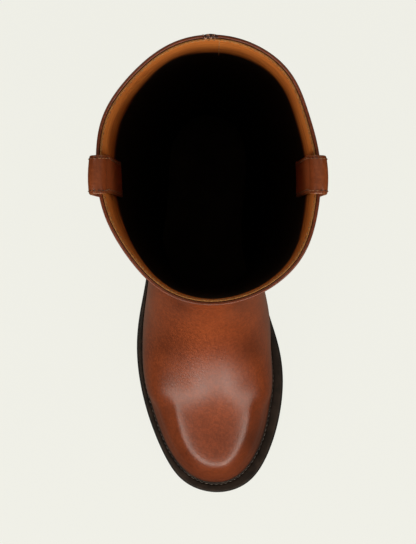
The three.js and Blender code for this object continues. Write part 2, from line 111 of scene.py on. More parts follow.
class Outline:
    """A closed plan line made from a table of half widths."""

    def __init__(self, table, back, front, tip_x):
        self.back, self.front = back, front
        medial = [(self.turn_of(forward), x) for forward, _, x in table]
        lateral = [(FULL_TURN - self.turn_of(forward), -x) for forward, x, _ in reversed(table)]
        loop = [(0, 0), *medial, (math.pi, tip_x), *lateral]
        knots = [(turn + lap * FULL_TURN, x) for lap in (-1, 0, 1) for turn, x in loop]
        self.x = curve(*zip(*knots))

    def turn_of(self, forward):
        return np.arccos(1 - 2 * (forward - self.back) / (self.front - self.back))

    def at(self, turn, inset=0.0):
        """Places on the line, moved inwards by the inset."""
        place, before, after = (
            np.stack([
                self.x(value),
                self.back + (self.front - self.back) * (1 - np.cos(value)) / 2,
            ], axis=-1)
            for value in (turn, turn - 0.01, turn + 0.01)
        )
        along = after - before
        along /= np.linalg.norm(along, axis=-1, keepdims=True)
        return place + inset * np.stack([-along[..., 1], along[..., 0]], axis=-1)


sole = Outline(SOLE_OUTLINE, SOLE_BACK, SOLE_FRONT, SOLE_TIP_X)
level_places, *level_columns = zip(*SOLE_LEVELS)
sole_top, tread_line = (curve(level_places, column) for column in level_columns)


def tread(forward):
    return np.maximum(tread_line(forward), 0)


def heel_loop(inset, level, side_steps=120, breast_steps=30):
    """Plan loop of the heel: the back of the sole, closed by a slightly hollow breast."""
    turn_breast = sole.turn_of(HEEL_BREAST)
    around = sole.at(np.linspace(turn_breast, -turn_breast, side_steps), inset)
    breast = HEEL_BREAST - inset / 2
    around[:, 1] = np.minimum(around[:, 1], breast)
    share = np.linspace(0, 1, breast_steps + 1)[1:-1]
    across = np.stack([
        mix(around[-1, 0], around[0, 0], share),
        breast - BREAST_HOLLOW * np.sin(math.pi * share),
    ], axis=-1)
    loop = np.vstack([around, across])
    for corner in (around[0].copy(), around[-1].copy()):
        near = 1 - ease(0, CORNER_REACH, np.linalg.norm(loop - corner, axis=1))
        for _ in range(CORNER_PASSES):
            soft = (np.roll(loop, 1, axis=0) + np.roll(loop, -1, axis=0)) / 2
            loop = mix(loop, soft, near[:, None] * CORNER_SHARE)
    return np.column_stack([loop, level(loop[:, 1])])


def towards(loop, centre, share):
    """The same loop drawn in towards a centre, which closes a face without a fan of slivers."""
    drawn = loop.copy()
    drawn[:, :2] = mix(np.array(centre), loop[:, :2], share)
    return drawn


def to_metres(points):
    points = np.asarray(points, float)
    return np.stack([points[..., 0], HEEL_CENTRE - points[..., 1], points[..., 2]], axis=-1) * MM


def grid_faces(index):
    """Four-cornered faces between rows of point numbers, each row a closed loop."""
    low, high = index[:-1], index[1:]
    faces = np.stack([low, np.roll(low, -1, 1), np.roll(high, -1, 1), high], axis=-1)
    return faces.reshape(-1, 4).tolist()


def numbered(rows):
    return np.arange(rows.shape[0] * rows.shape[1]).reshape(rows.shape[:2])


def build(name, points, faces, values=None, sharp=None):
    """Makes a piece with its shader values: welded, faces turned outwards, and smoothed."""
    mesh = bpy.data.meshes.new(name)
    mesh.from_pydata(to_metres(points).reshape(-1, 3).tolist(), [], faces)
    for label, numbers in (values or {}).items():
        layer = mesh.attributes.new(label, "FLOAT", "POINT")
        layer.data.foreach_set("value", np.asarray(numbers, np.float32).ravel())
    bm = bmesh.new()
    bm.from_mesh(mesh)
    bmesh.ops.remove_doubles(bm, verts=bm.verts, dist=WELD * MM)
    bmesh.ops.dissolve_degenerate(bm, edges=bm.edges, dist=WELD * MM / 2)
    bmesh.ops.recalc_face_normals(bm, faces=bm.faces)
    for face in bm.faces:
        face.smooth = True
    bm.to_mesh(mesh)
    bm.free()
    if sharp is not None:
        mesh.set_sharp_from_angle(angle=math.radians(sharp))
    piece = bpy.data.objects.new(name, mesh)
    bpy.context.scene.collection.objects.link(piece)
    return piece


def skin(name, rows, wrap=False, values=None, sharp=None):
    """A closed skin over rows of places; each row is a closed loop of (x, forward, height)."""
    rows = np.asarray(rows, float)
    index = numbered(rows)
    if wrap:
        index = np.vstack([index, index[:1]])
    return build(name, rows, grid_faces(index), values, sharp)


def cut_grooves(piece, forwards):
    """Grip grooves across a flat underside, cut along their edges and then sunk."""
    bm = bmesh.new()
    bm.from_mesh(piece.data)
    for forward in forwards:
        half, floor = GROOVE_WIDTH / 2, GROOVE_WIDTH / 2 - GROOVE_SLOPE
        for shift in (-half, -floor, floor, half):
            bmesh.ops.bisect_plane(
                bm, geom=bm.verts[:] + bm.edges[:] + bm.faces[:], dist=1e-7,
                plane_co=(0, (HEEL_CENTRE - forward - shift) * MM, 0), plane_no=(0, 1, 0),
            )
    for vert in bm.verts:
        if vert.co.z > EDGE_BREAK * 1.01 * MM:
            continue
        away = min(abs(HEEL_CENTRE - vert.co.y / MM - forward) for forward in forwards)
        depth = GROOVE_DEPTH * np.clip((GROOVE_WIDTH / 2 - away) / GROOVE_SLOPE, 0, 1)
        vert.co.z += depth * MM
    bm.to_mesh(piece.data)
    bm.free()


def linear(hex_colour):
    """An sRGB hex colour as the linear values that a shader works in."""
    parts = [int(hex_colour[i:i + 2], 16) / 255 for i in (1, 3, 5)]
    return (*[p / 12.92 if p <= 0.04045 else ((p + 0.055) / 1.055) ** 2.4 for p in parts], 1)


def add(tree, kind, links=None, stops=(), **settings):
    """Adds a node and sets its options. Each input gets a value, another node's output, or a
    node whose first output it takes. A ramp's stops are (place, hex colour)."""
    made = tree.nodes.new(kind)
    for name, value in settings.items():
        setattr(made, name, value)
    for name, value in (links or {}).items():
        if isinstance(value, bpy.types.Node):
            value = value.outputs[0]
        if isinstance(value, bpy.types.NodeSocket):
            tree.links.new(value, made.inputs[name])
        else:
            made.inputs[name].default_value = value
    for place, colour in stops[1:-1]:
        made.color_ramp.elements.new(place).color = linear(colour)
    for end in (0, -1) if stops else ():
        made.color_ramp.elements[end].position = stops[end][0]
        made.color_ramp.elements[end].color = linear(stops[end][1])
    return made


def per_metre(size_mm):
    """Texture scale for a pattern whose grain, cell or wave measures size_mm."""
    return 1 / (size_mm * MM)


def new_material(name):
    """An empty material, with object coordinates for its patterns."""
    material = bpy.data.materials.new(name)
    material.use_nodes = True
    tree = material.node_tree
    tree.nodes.clear()
    where = add(tree, "ShaderNodeTexCoord").outputs["Object"]
    return material, tree, where


def put_out(tree, shader):
    add(tree, "ShaderNodeOutputMaterial", {"Surface": shader})


def finish(tree, colour, rough, relief, more):
    """Closes a material with one shader, over relief given as (height, strength, depth)."""
    height, strength, depth = relief
    bump = add(tree, "ShaderNodeBump", {
        "Height": height, "Strength": strength, "Distance": depth * MM,
    })
    put_out(tree, add(tree, "ShaderNodeBsdfPrincipled", {
        "Base Color": colour, "Roughness": rough, "Normal": bump, **more,
    }))


def moulded_rubber():
    """Black sole rubber from a mould: matt, faintly dusty, with a fine stipple in the light."""
    material, tree, where = new_material("moulded_rubber")
    cloud = add(tree, "ShaderNodeTexNoise", {
        "Vector": where, "Scale": per_metre(14), "Detail": 3.0,
    })
    stipple = add(tree, "ShaderNodeTexNoise", {
        "Vector": where, "Scale": per_metre(0.7), "Detail": 2.0, "Roughness": 0.6,
    })
    colour = add(tree, "ShaderNodeValToRGB", {"Fac": cloud}, [(0.3, "#171513"), (0.7, "#26221f")])
    rough = add(tree, "ShaderNodeMapRange", {"Value": stipple, "To Min": 0.5, "To Max": 0.72})
    finish(tree, colour, rough, (stipple, 0.35, 0.15), {"IOR": 1.52, "Specular IOR Level": 0.2})
    return material


def fit(piece, material, slot, *nodes):
    """Gives a piece its finish, its body and the plain solids that it stands for; the slot is not
    used.
    """
    piece.data.materials.append(material)
    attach(piece, "root")
    if nodes:
        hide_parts(*nodes)


def heel_inset(share):
    """How far the heel's edge stands in, from its foot (0) to the underside of the sole (1)."""
    return HEEL_SET_BACK + HEEL_TAPER * (1 - share) ** 1.2


rubber = moulded_rubber()
heel_height = tread(SOLE_BACK)
lift_share = LIFT_THICKNESS / heel_height
heel_centre = (0, HEEL_CENTRE)
lift_rows = [(heel_inset(0) + EDGE_BREAK, 0), (heel_inset(0), EDGE_BREAK),
             (heel_inset(lift_share), LIFT_THICKNESS - EDGE_BREAK),
             (heel_inset(lift_share) + EDGE_BREAK, LIFT_THICKNESS)]
lift_loops = [heel_loop(inset, lambda forward: 0 * forward + level) for inset, level in lift_rows]
lift = skin("heel_top_piece", [
    *[towards(lift_loops[0], heel_centre, share) for share in (0, 0.3, 0.6, 0.85)],
    *lift_loops,
    *[towards(lift_loops[-1], heel_centre, share) for share in (0.6, 0)],
], sharp=35)
cut_grooves(lift, LIFT_GROOVES)
fit(lift, rubber, "sole_rubber", "heel_lift")

# ---------------------------------------------------------------- stacked heel
# Five leather lifts, glued, nailed, ground to one curve, dyed black and waxed.
# The joints between the lifts stay as hairlines round the heel.

STACK_LIFTS = 5
HAIRLINE_DEPTH, HAIRLINE_REACH = 0.22, 0.28
LIFT_SWELL = 0.05                # each lift's edge is very slightly rounded


def waxed_stack():
    """Black-dyed leather end grain under hard wax: a dull gloss with long level fibres."""
    material, tree, where = new_material("waxed_stack")
    flat = add(tree, "ShaderNodeMapping", {"Vector": where, "Scale": (1, 1, 9)})
    fibre = add(tree, "ShaderNodeTexNoise", {
        "Vector": flat, "Scale": per_metre(6), "Detail": 5.0, "Roughness": 0.6,
    })
    colour = add(tree, "ShaderNodeValToRGB", {"Fac": fibre}, [(0.3, "#15110f"), (0.75, "#2c2420")])
    rough = add(tree, "ShaderNodeMapRange", {"Value": fibre, "To Min": 0.34, "To Max": 0.52})
    finish(tree, colour, rough, (fibre, 0.3, 0.12), {
        "IOR": 1.5, "Coat Weight": 0.25, "Coat Roughness": 0.35,
    })
    return material


block_foot = LIFT_THICKNESS + SEAM_GAP
block_rows = []
for lift_number in range(STACK_LIFTS):
    start, end = (mix(lift_share, 1, (lift_number + step) / STACK_LIFTS) for step in (0, 1))
    reach = HAIRLINE_REACH / heel_height
    block_rows += [(start, HAIRLINE_DEPTH), (start + reach, 0),
                   ((start + end) / 2, -LIFT_SWELL), (end - reach, 0)]
block_rows.append((1, HAIRLINE_DEPTH))
block_loops = [
    heel_loop(
        heel_inset(share) + extra,
        lambda forward: mix(block_foot, tread(forward) - SEAM_GAP,
                            (share - lift_share) / (1 - lift_share)),
    )
    for share, extra in block_rows
]
block = skin("heel_stack", [
    *[towards(block_loops[0], heel_centre, share) for share in (0, 0.6)],
    *block_loops,
    *[towards(block_loops[-1], heel_centre, share) for share in (0.6, 0)],
], sharp=50)
fit(block, waxed_stack(), "heel_block", "heel")

# ---------------------------------------------------------------- outsole
# One full-length rubber sole, thin over the heel and the waist, with nine cross lugs
# under the forefoot. Its edge is trimmed with three wheeled lines.

LUG_DEPTH, LUG_LENGTH, LUG_PITCH = 3, 9, 14.2
LUG_INSET, LUG_FIRST, LUG_COUNT = 4, 146, 9
LUG_BREAK, LUG_ROOT = 0.7, 0.4   # a lug's broken edges, and how far it runs into the slab
LUG_END_TAPER, LUG_END_RISE = 0.12, 0.25
SPINE_BACK, SPINE_FRONT = 24, 256
EDGE_LINES, EDGE_LINE_DEPTH = 3, 0.3
COLUMNS = 240
turns = FULL_TURN * np.arange(COLUMNS) / COLUMNS

SLAB_BREAK = 1.0                 # rounding of the sole's upper and lower edges
LUG_BACK_EASE = (136, 150)       # where the slab starts to stand off the floor for the lugs

RIDGE_PLACES = [                 # forward, and x of the middle line of sole and foot
    (0, 0), (60, 0.2), (130, 2), (165, 3.2), (190, 4.1), (212, 4.6), (245, 5.2), (268.2, 5.4),
]
ridge_x = curve(*zip(*RIDGE_PLACES))


def sole_base(forward):
    return tread(forward) + LUG_DEPTH * ease(*LUG_BACK_EASE, forward)


def spine_loop(edge, share):
    """A loop between the sole's long middle line and its edge."""
    along = mix(SPINE_BACK, SPINE_FRONT, (1 - np.cos(turns)) / 2)
    middle = np.stack([ridge_x(along), along], axis=-1)
    return mix(middle, edge, share)


def lifted(loop, level):
    return np.column_stack([loop, level(loop[:, 1])])


def sole_edge_rows():
    """The edge from top to bottom: (share of the thickness, inset), with its wheeled lines."""
    rows = [(0, SLAB_BREAK), (0.03, 0.35), (0.1, 0)]
    for line in range(EDGE_LINES):
        centre = mix(0.26, 0.78, line / (EDGE_LINES - 1))
        rows += [(centre - 0.085, 0), (centre - 0.03, EDGE_LINE_DEPTH),
                 (centre + 0.03, EDGE_LINE_DEPTH), (centre + 0.085, 0)]
    return [*rows, (0.92, 0), (0.98, 0.35), (1, SLAB_BREAK)]


def lug(start):
    """One cross lug: a bar with broken edges whose ends follow the sole's outline."""
    half, low = LUG_LENGTH / 2, LUG_BREAK
    section = [(-half, 1), (-half, low / LUG_DEPTH), (-half + low, 0), (half - low, 0),
               (half, low / LUG_DEPTH), (half, 1)]
    rows = []
    for side, drawn_in in ((0, 1), (0, 0), (0.25, 0), (0.5, 0), (0.75, 0), (1, 0), (1, 1)):
        row = []
        for ahead, up in section:
            forward = start + half + ahead * (1 - LUG_END_TAPER * drawn_in)
            turn = sole.turn_of(forward)
            medial = sole.at(turn)[0] - LUG_INSET - LUG_BREAK * drawn_in
            lateral = sole.at(FULL_TURN - turn)[0] + LUG_INSET + LUG_BREAK * drawn_in
            root = sole_base(forward) + LUG_ROOT
            level = mix(tread(forward), root, max(up, LUG_END_RISE * drawn_in))
            row.append((mix(lateral, medial, side), forward, level))
        rows.append(row)
    return rows


def edge_loop(share, inset):
    loop = sole.at(turns, inset)
    return lifted(loop, lambda forward: mix(sole_top(forward), sole_base(forward), share))


slab_edge = sole.at(turns, SLAB_BREAK)
outsole = skin("outsole_slab", [
    *[lifted(spine_loop(slab_edge, share), sole_top) for share in (0, 0.5, 0.85)],
    *[edge_loop(share, inset) for share, inset in sole_edge_rows()],
    *[lifted(spine_loop(slab_edge, share), sole_base) for share in (0.85, 0.5, 0)],
], sharp=50)
fit(outsole, rubber, "sole_rubber", "outsole")


def capped_bars(name, bars, values=None, sharp=None):
    """Several bars in one mesh, each a run of equal sections closed by a face at both ends."""
    points, faces = [], []
    for rows in bars:
        rows = np.asarray(rows, float)
        index = numbered(rows) + len(points)
        points.extend(rows.reshape(-1, 3))
        faces += [*grid_faces(index), index[0].tolist(), index[-1].tolist()]
    return build(name, points, faces, values, sharp)


lug_bars = [lug(LUG_FIRST + number * LUG_PITCH) for number in range(LUG_COUNT)]
lugs = capped_bars("outsole_lugs", lug_bars, sharp=30)
fit(lugs, rubber, "sole_rubber")

# ---------------------------------------------------------------- welt
# A strip of black-dyed leather all round the feather line. It is sewn to the upper and
# insole, its outer edge is rounded, and a sunk channel beside the upper holds its stitches.

FEATHER_BACK, FEATHER_FRONT, FEATHER_TIP_X = 6.5, 268.2, 5.4
FEATHER_OUTLINE = [              # forward, lateral and medial half widths
    (15, 20.6, 20.6), (36, 29.4, 29.4), (60, 30.8, 28.6), (85, 33.6, 26.8), (108, 37.2, 28.4),
    (132, 40.8, 34.2), (152, 43.6, 39.6), (172, 44.6, 42.6), (196, 43.2, 44.6),
    (218, 37.4, 42.2), (238, 30, 37.4), (251, 22.8, 31.2), (262, 12.6, 22.2),
]
WELT_THICKNESS = 3.5
WELT_LIFT = 0.3                  # space between the outsole and the welt in the frame
WELT_SET_BACK = 1.2
WELT_UNDER_UPPER = 3.0
CHANNEL_OUT, CHANNEL_WIDTH, CHANNEL_DEPTH = 2.5, 1.5, 0.5
WELT_STITCH, WELT_PITCH, WELT_THREAD = 2.5, 3.5, 0.36
STITCH_SHAPE = [                 # place along half a stitch, and its share of full thickness
    (-1, 0.15), (-0.86, 0.72), (-0.45, 0.97), (0, 1), (0.45, 0.97), (0.86, 0.72), (1, 0.15),
]
STITCH_CROWN, STITCH_DIVE = 0.55, 1.15     # in thread radii: its middle's rise, its ends' dip
THREAD_SIDES = 6
LOOK = 0.3                       # how far ahead and behind a stitch reads its direction

feather = Outline(FEATHER_OUTLINE, FEATHER_BACK, FEATHER_FRONT, FEATHER_TIP_X)


def welt_top(forward):
    return sole_top(forward) + WELT_LIFT + WELT_THICKNESS


def welt_row(line, inset, depth):
    """A loop at an inset from an outline and a depth under the welt's top."""
    return lifted(line.at(turns, inset), lambda forward: welt_top(forward) - depth)


def dyed_welt():
    """Black-dyed welt leather: matt and even, with a slight brown show-through and fine pores."""
    material, tree, where = new_material("dyed_welt")
    cloud = add(tree, "ShaderNodeTexNoise", {
        "Vector": where, "Scale": per_metre(9), "Detail": 4.0,
    })
    pores = add(tree, "ShaderNodeTexVoronoi", {"Vector": where, "Scale": per_metre(0.8)})
    colour = add(tree, "ShaderNodeValToRGB", {"Fac": cloud}, [(0.3, "#1c1612"), (0.7, "#382c24")])
    rough = add(tree, "ShaderNodeMapRange", {"Value": cloud, "To Min": 0.45, "To Max": 0.62})
    finish(tree, colour, rough, (pores, 0.3, 0.12), {"IOR": 1.5, "Specular IOR Level": 0.2})
    return material


def waxed_thread(name, shade, light):
    """Waxed linen thread: two plies that show as slanting light and dark bands."""
    material, tree, where = new_material(name)
    twist = add(tree, "ShaderNodeTexWave", {
        "Vector": where, "Scale": per_metre(0.9) / FULL_TURN, "Distortion": 1.0,
    }, bands_direction="DIAGONAL")
    bands = twist.outputs["Fac"]
    colour = add(tree, "ShaderNodeValToRGB", {"Fac": bands}, [(0.2, shade), (0.8, light)])
    finish(tree, colour, 0.5, (bands, 0.4, 0.08), {
        "IOR": 1.5, "Sheen Weight": 0.15, "Sheen Roughness": 0.4,
    })
    return material


def stitches(name, lines, pitch, length, thread):
    """Sewn stitches along lines of (places, normals): short threads that dive in at both ends."""
    along, width = (np.array(column) for column in zip(*STITCH_SHAPE))
    rise = thread * (STITCH_CROWN - STITCH_DIVE * along ** 2)
    around = FULL_TURN * np.arange(THREAD_SIDES) / THREAD_SIDES
    shape = np.stack([
        np.repeat(along * length / 2, THREAD_SIDES),
        np.outer(width * thread, np.cos(around)).ravel(),
        (rise[:, None] + np.outer(width * thread, np.sin(around))).ravel(),
    ], axis=-1)
    index = np.arange(len(shape)).reshape(len(along), THREAD_SIDES)
    tube = np.array(grid_faces(index))
    points, faces = [], []
    for places, normals in lines:
        steps = np.linalg.norm(np.diff(places, axis=0), axis=1)
        run = np.concatenate([[0], np.cumsum(steps)])
        count = max(int(run[-1] / pitch), 1)
        middles = (np.arange(count) + 0.5) * run[-1] / count

        def read(values, where):
            return np.stack([np.interp(where, run, values[:, axis]) for axis in range(3)], -1)

        centre, up = read(places, middles), read(normals, middles)
        ahead = read(places, middles + LOOK) - read(places, middles - LOOK)
        ahead /= np.linalg.norm(ahead, axis=1, keepdims=True)
        aside = np.cross(up, ahead)
        aside /= np.linalg.norm(aside, axis=1, keepdims=True)
        up = np.cross(ahead, aside)
        for middle, *axes in zip(centre, ahead, aside, up):
            base = len(points)
            points.extend(middle + shape @ np.stack(axes))
            faces += [*(tube + base).tolist(), *(index[[0, -1]] + base).tolist()]
    return build(name, points, faces)


channel_in = CHANNEL_OUT - CHANNEL_WIDTH
welt_foot = WELT_THICKNESS + WELT_LIFT - SEAM_GAP
welt = skin("welt_strip", [
    *[welt_row(sole, WELT_SET_BACK + inset, depth) for inset, depth in (
        (0.5, welt_foot), (0.1, WELT_THICKNESS - 0.4), (0, WELT_THICKNESS / 2), (0, 0.8),
        (0.18, 0.32), (0.5, 0.08), (1.0, 0),
    )],
    *[welt_row(feather, -out, depth) for out, depth in (
        (CHANNEL_OUT + 0.3, 0), (CHANNEL_OUT, 0.12), (CHANNEL_OUT - 0.3, CHANNEL_DEPTH),
        (channel_in + 0.3, CHANNEL_DEPTH), (channel_in, 0.12), (channel_in - 0.3, 0),
        (-WELT_UNDER_UPPER, 0), (-WELT_UNDER_UPPER, welt_foot),
    )],
], wrap=True)
fit(welt, dyed_welt(), "welt", "welt")

seam_turns = np.linspace(0, FULL_TURN, 721)
seam_loop = feather.at(seam_turns, -(channel_in + CHANNEL_OUT) / 2)
welt_line = lifted(seam_loop, lambda forward: welt_top(forward) - CHANNEL_DEPTH)
welt_seam = stitches(
    "welt_stitches", [(welt_line, np.tile([0.0, 0, 1], (len(welt_line), 1)))],
    WELT_PITCH, WELT_STITCH, WELT_THREAD,
)
fit(welt_seam, waxed_thread("waxed_thread_black", "#2b2521", "#5d5148"), "welt")

# ---------------------------------------------------------------- insole
# A leather insole board with its sock, laid on the outsole inside the welt.
# The upper is lasted over its edge, so only its top face can be seen from inside.

INSOLE_THICKNESS = 5
INSOLE_GAP = 0.3
INSOLE_BREAK = 0.8               # rounding of its edges


def sock_leather():
    """Black sheepskin sock: soft, matt, with a loose grain."""
    material, tree, where = new_material("sock_leather")
    grain = add(tree, "ShaderNodeTexNoise", {
        "Vector": where, "Scale": per_metre(1.2), "Detail": 4.0,
    })
    cloud = add(tree, "ShaderNodeTexNoise", {
        "Vector": where, "Scale": per_metre(30), "Detail": 2.0,
    })
    colour = add(tree, "ShaderNodeValToRGB", {"Fac": cloud}, [(0.3, "#3c3226"), (0.7, "#54483a")])
    finish(tree, colour, 0.75, (grain, 0.3, 0.2), {"IOR": 1.45})
    return material


insole_line = WELT_UNDER_UPPER + INSOLE_GAP
insole_foot, insole_face = INSOLE_GAP, INSOLE_GAP + INSOLE_THICKNESS


def insole_row(inset, share, rise):
    loop = spine_loop(feather.at(turns, inset), share)
    return lifted(loop, lambda forward: sole_top(forward) + rise)


insole = skin("insole_sock", [
    *[insole_row(insole_line + INSOLE_BREAK, share, insole_foot) for share in (0, 0.5, 1)],
    insole_row(insole_line, 1, insole_foot + INSOLE_BREAK),
    insole_row(insole_line, 1, insole_face - INSOLE_BREAK),
    insole_row(insole_line + 0.25, 1, insole_face - 0.25),
    *[insole_row(insole_line + INSOLE_BREAK, share, insole_face) for share in (1, 0.8, 0.5, 0)],
])
fit(insole, sock_leather(), "lining_leather", "insole")

# ---------------------------------------------------------------- form of the upper
# The last and the leg that the leather is pulled over: one smooth skin from the welt to
# the collar. Every leather piece, seam and stitch below is laid on this skin.

BOOT_HEIGHT = 400
FRONT_PROFILE = [                # forward and height of the front line, from toe to collar
    (268.2, 18), (267.9, 24), (265.9, 31), (261, 36.6), (252, 40.2), (238, 43.2), (222, 46.6),
    (206, 51.4), (192, 58), (178, 67), (165, 78.6), (154, 92.6), (146, 108), (140, 126),
    (136, 147), (133.6, 172), (132.4, 205), (132.2, 260), (134, 330), (136.1, 400),
]
LEG_SECTIONS = [                 # height, back line, half width, fullness behind and in front
    (30, 7.5, 30, 2.9, 2.9), (42, 6.5, 31.2, 2.85, 2.85), (60, 4.8, 34.2, 2.7, 2.7),
    (80, 6.6, 35.8, 2.5, 2.5), (100, 10.4, 35.6, 2.3, 2.3), (125, 14, 35, 2.15, 2.2),
    (150, 14.6, 35.8, 2.1, 2.15), (200, 9.6, 40.2, 2.05, 2.1), (250, 3.8, 45.6, 2.05, 2.1),
    (300, 0, 50.8, 2.05, 2.15), (350, -1.3, 54.6, 2.1, 2.15), (400, -0.6, 56.7, 2.04, 2.06),
]
COLLAR_LINE = [                  # share from back to front, and x of the collar's middle
    (0, 1.7), (0.1, 2.2), (0.28, -0.8), (0.45, -0.1), (0.68, 1.6), (0.86, 3.7), (1, 1.8),
]
ROUNDNESS = [                    # forward, and the power of the foot's rounded section
    (0, 2.3), (60, 2.2), (130, 2), (165, 1.85), (190, 1.8), (212, 2.1), (245, 2.35), (268.2, 2.5),
]
SIDE_SWELL = 0.035               # how far the foot's sides bulge past the feather line
ARCH_SWELL = 0.18                # the same over the hollow of the arch
BREAST_SHARE, BREAST_MOST = 0.26, 14       # height where the foot is widest: share, and limit
RINGS = 300
SMOOTHINGS = 5

# Creases: height and turn of the middle, reach round the leg, width, depth, and slope.
CREASES = [
    (112, 0.50, 0.17, 7, 1.1, -6), (131, 0.47, 0.15, 6.5, 0.9, 7), (149, 0.53, 0.12, 7.5, 0.7, -4),
    (117, 0.98, 0.13, 7.5, 0.9, 5), (137, 0.03, 0.12, 8, 0.8, -6), (163, 0.99, 0.10, 9, 0.5, 4),
    (124, 0.24, 0.10, 9, 0.6, 10), (126, 0.75, 0.10, 9, 0.6, -9),
]
ROLL_ABOVE, ROLL_SHARE = 1.5, 0.6          # the roll over a fold, in widths and in depths

# The edge of the toe stiffener under the leather, seen from above: x and forward. Its width,
# how far the ridge over it stands, and how far the leather drops outside it.
TOE_EDGE = [
    (-26, 203), (-24.5, 218), (-20.5, 233), (-14, 246), (-4.5, 253.5), (5.5, 256.5),
    (15.5, 253.5), (23.5, 243.5), (28.5, 232.5), (32, 219), (33, 203),
]
TOE_EDGE_WIDTH, TOE_EDGE_STANDS, TOE_EDGE_DROP = 4.5, 0.4, 2.8
TOE_BACK = (204, 218)            # forward places over which that edge fades in
# Soft hollows behind that edge, either side of the vamp's ridge: x, forward, reach, depth.
HOLLOWS = [(-20, 208, 15, 2.0), (29, 206, 12, 1.2)]

front_forward, front_height = (np.array(values, float) for values in zip(*FRONT_PROFILE))
profile_run = np.concatenate([
    [0], np.cumsum(np.hypot(np.diff(front_forward), np.diff(front_height))),
])
profile_forward, profile_rise = curve(profile_run, front_forward), curve(profile_run, front_height)
profile_dots = np.linspace(0, profile_run[-1], 1201)
dot_forward, dot_height = profile_forward(profile_dots), profile_rise(profile_dots)
over_foot = dot_height < 165
ridge_forward = np.maximum.accumulate([60, 100, 120, 129, *dot_forward[over_foot][::-1]])
ridge_rise = np.array([900, 520, 300, 200, *dot_height[over_foot][::-1]])
roundness = curve(*zip(*ROUNDNESS))
leg_height, *leg_columns = zip(*LEG_SECTIONS)
leg_back, leg_half, leg_back_fullness, leg_front_fullness = (
    curve(leg_height, column) for column in leg_columns
)
collar_middle = curve(*zip(*COLLAR_LINE))


def feather_height(forward):
    return welt_top(forward) + WELT_LIFT


def foot_width(forward, height, side):
    """Half width of the foot, from its upright section at this place."""
    shift = (FEATHER_BACK - leg_back(height)) * (1 - ease(10, 70, forward))
    along = np.clip(forward + shift, FEATHER_BACK, FEATHER_FRONT)
    turn = feather.turn_of(along)
    edge = feather.x(np.where(side > 0, turn, FULL_TURN - turn))
    low = np.abs(edge - ridge_x(along))
    floor = feather_height(forward)
    top = np.maximum(np.interp(forward, ridge_forward, ridge_rise), floor + 0.01)
    breast = floor + np.minimum(BREAST_SHARE * (top - floor), BREAST_MOST)
    swell = np.where(side > 0, mix(ARCH_SWELL, 0.03, ease(120, 185, forward)), SIDE_SWELL)
    widest = low * (1 + swell)
    under = mix(low, widest, ease(floor - 6, breast, height) * 1.2 - 0.2)
    power = roundness(forward)
    rise = np.clip((height - breast) / (top - breast), 0, 1)
    return np.where(height <= breast, under, widest * (1 - rise ** power) ** (1 / power))


def leg_share(forward, height):
    back = leg_back(height)
    front = np.interp(height, dot_height, dot_forward)
    return np.clip((forward - back) / (front - back), 0, 1)


def leg_width(forward, height):
    """Half width of the leg, from its level section at this place."""
    share = leg_share(forward, height)
    power = mix(leg_back_fullness(height), leg_front_fullness(height), ease(0.35, 0.65, share))
    return leg_half(height) * (1 - np.abs(2 * share - 1) ** power) ** (1 / power)


def leg_middle(forward, height):
    return mix(1, collar_middle(leg_share(forward, height)), ease(140, BOOT_HEIGHT, height))


def last_point(run, turn):
    """A place on the form: how far up the front profile its ring starts, and the turn."""
    rise, front = profile_rise(run), profile_forward(run)
    seat = feather_height(FEATHER_BACK)
    back_height = rise + (seat - 18) * (1 - ease(40, 180, rise))
    share = (1 - np.cos(turn)) / 2
    forward = mix(leg_back(back_height), front, share)
    under = mix(FEATHER_BACK, FEATHER_FRONT, share)
    chord = mix(seat, feather_height(FEATHER_FRONT), share)
    sag = (feather_height(under) - chord) * (1 - ease(18, 100, rise))
    height = mix(back_height, rise, share) + sag
    side = np.where(turn < math.pi, 1, -1)
    leg = ease(35, 100, height - 0.35 * (forward - 60))
    leg *= ease(0, 25, height - feather_height(forward))
    middle = mix(ridge_x(forward), leg_middle(forward, height), ease(60, 140, height))
    width = mix(foot_width(forward, height, side), leg_width(forward, height), leg)
    return np.stack([middle + side * width, forward, height], axis=-1)


def grid_normals(grid):
    up = np.gradient(grid, axis=0)
    around = np.roll(grid, -1, axis=1) - np.roll(grid, 1, axis=1)
    normal = np.cross(around, up)
    return normal / np.linalg.norm(normal, axis=-1, keepdims=True)


def crease_depth(grid):
    """Soft folds round the ankle, each a trough with a low roll above it."""
    height, turn = grid[..., 2], np.broadcast_to(turns / FULL_TURN, grid.shape[:2])
    total = np.zeros(height.shape)
    for middle, at_turn, reach, width, depth, slope in CREASES:
        aside = (turn - at_turn + 0.5) % 1 - 0.5
        level = middle + slope * aside / reach
        fade = np.exp(-(aside / reach) ** 2)
        away = (height - level) / width
        roll = ROLL_SHARE * np.exp(-(away - ROLL_ABOVE) ** 2)
        total += fade * depth * (roll - np.exp(-away ** 2))
    return total


def near_spot(grid, x, forward, reach):
    """A soft spot seen from above: one at its middle, fading over its reach."""
    return np.exp(-((grid[..., 0] - x) ** 2 + (grid[..., 1] - forward) ** 2) / reach ** 2)


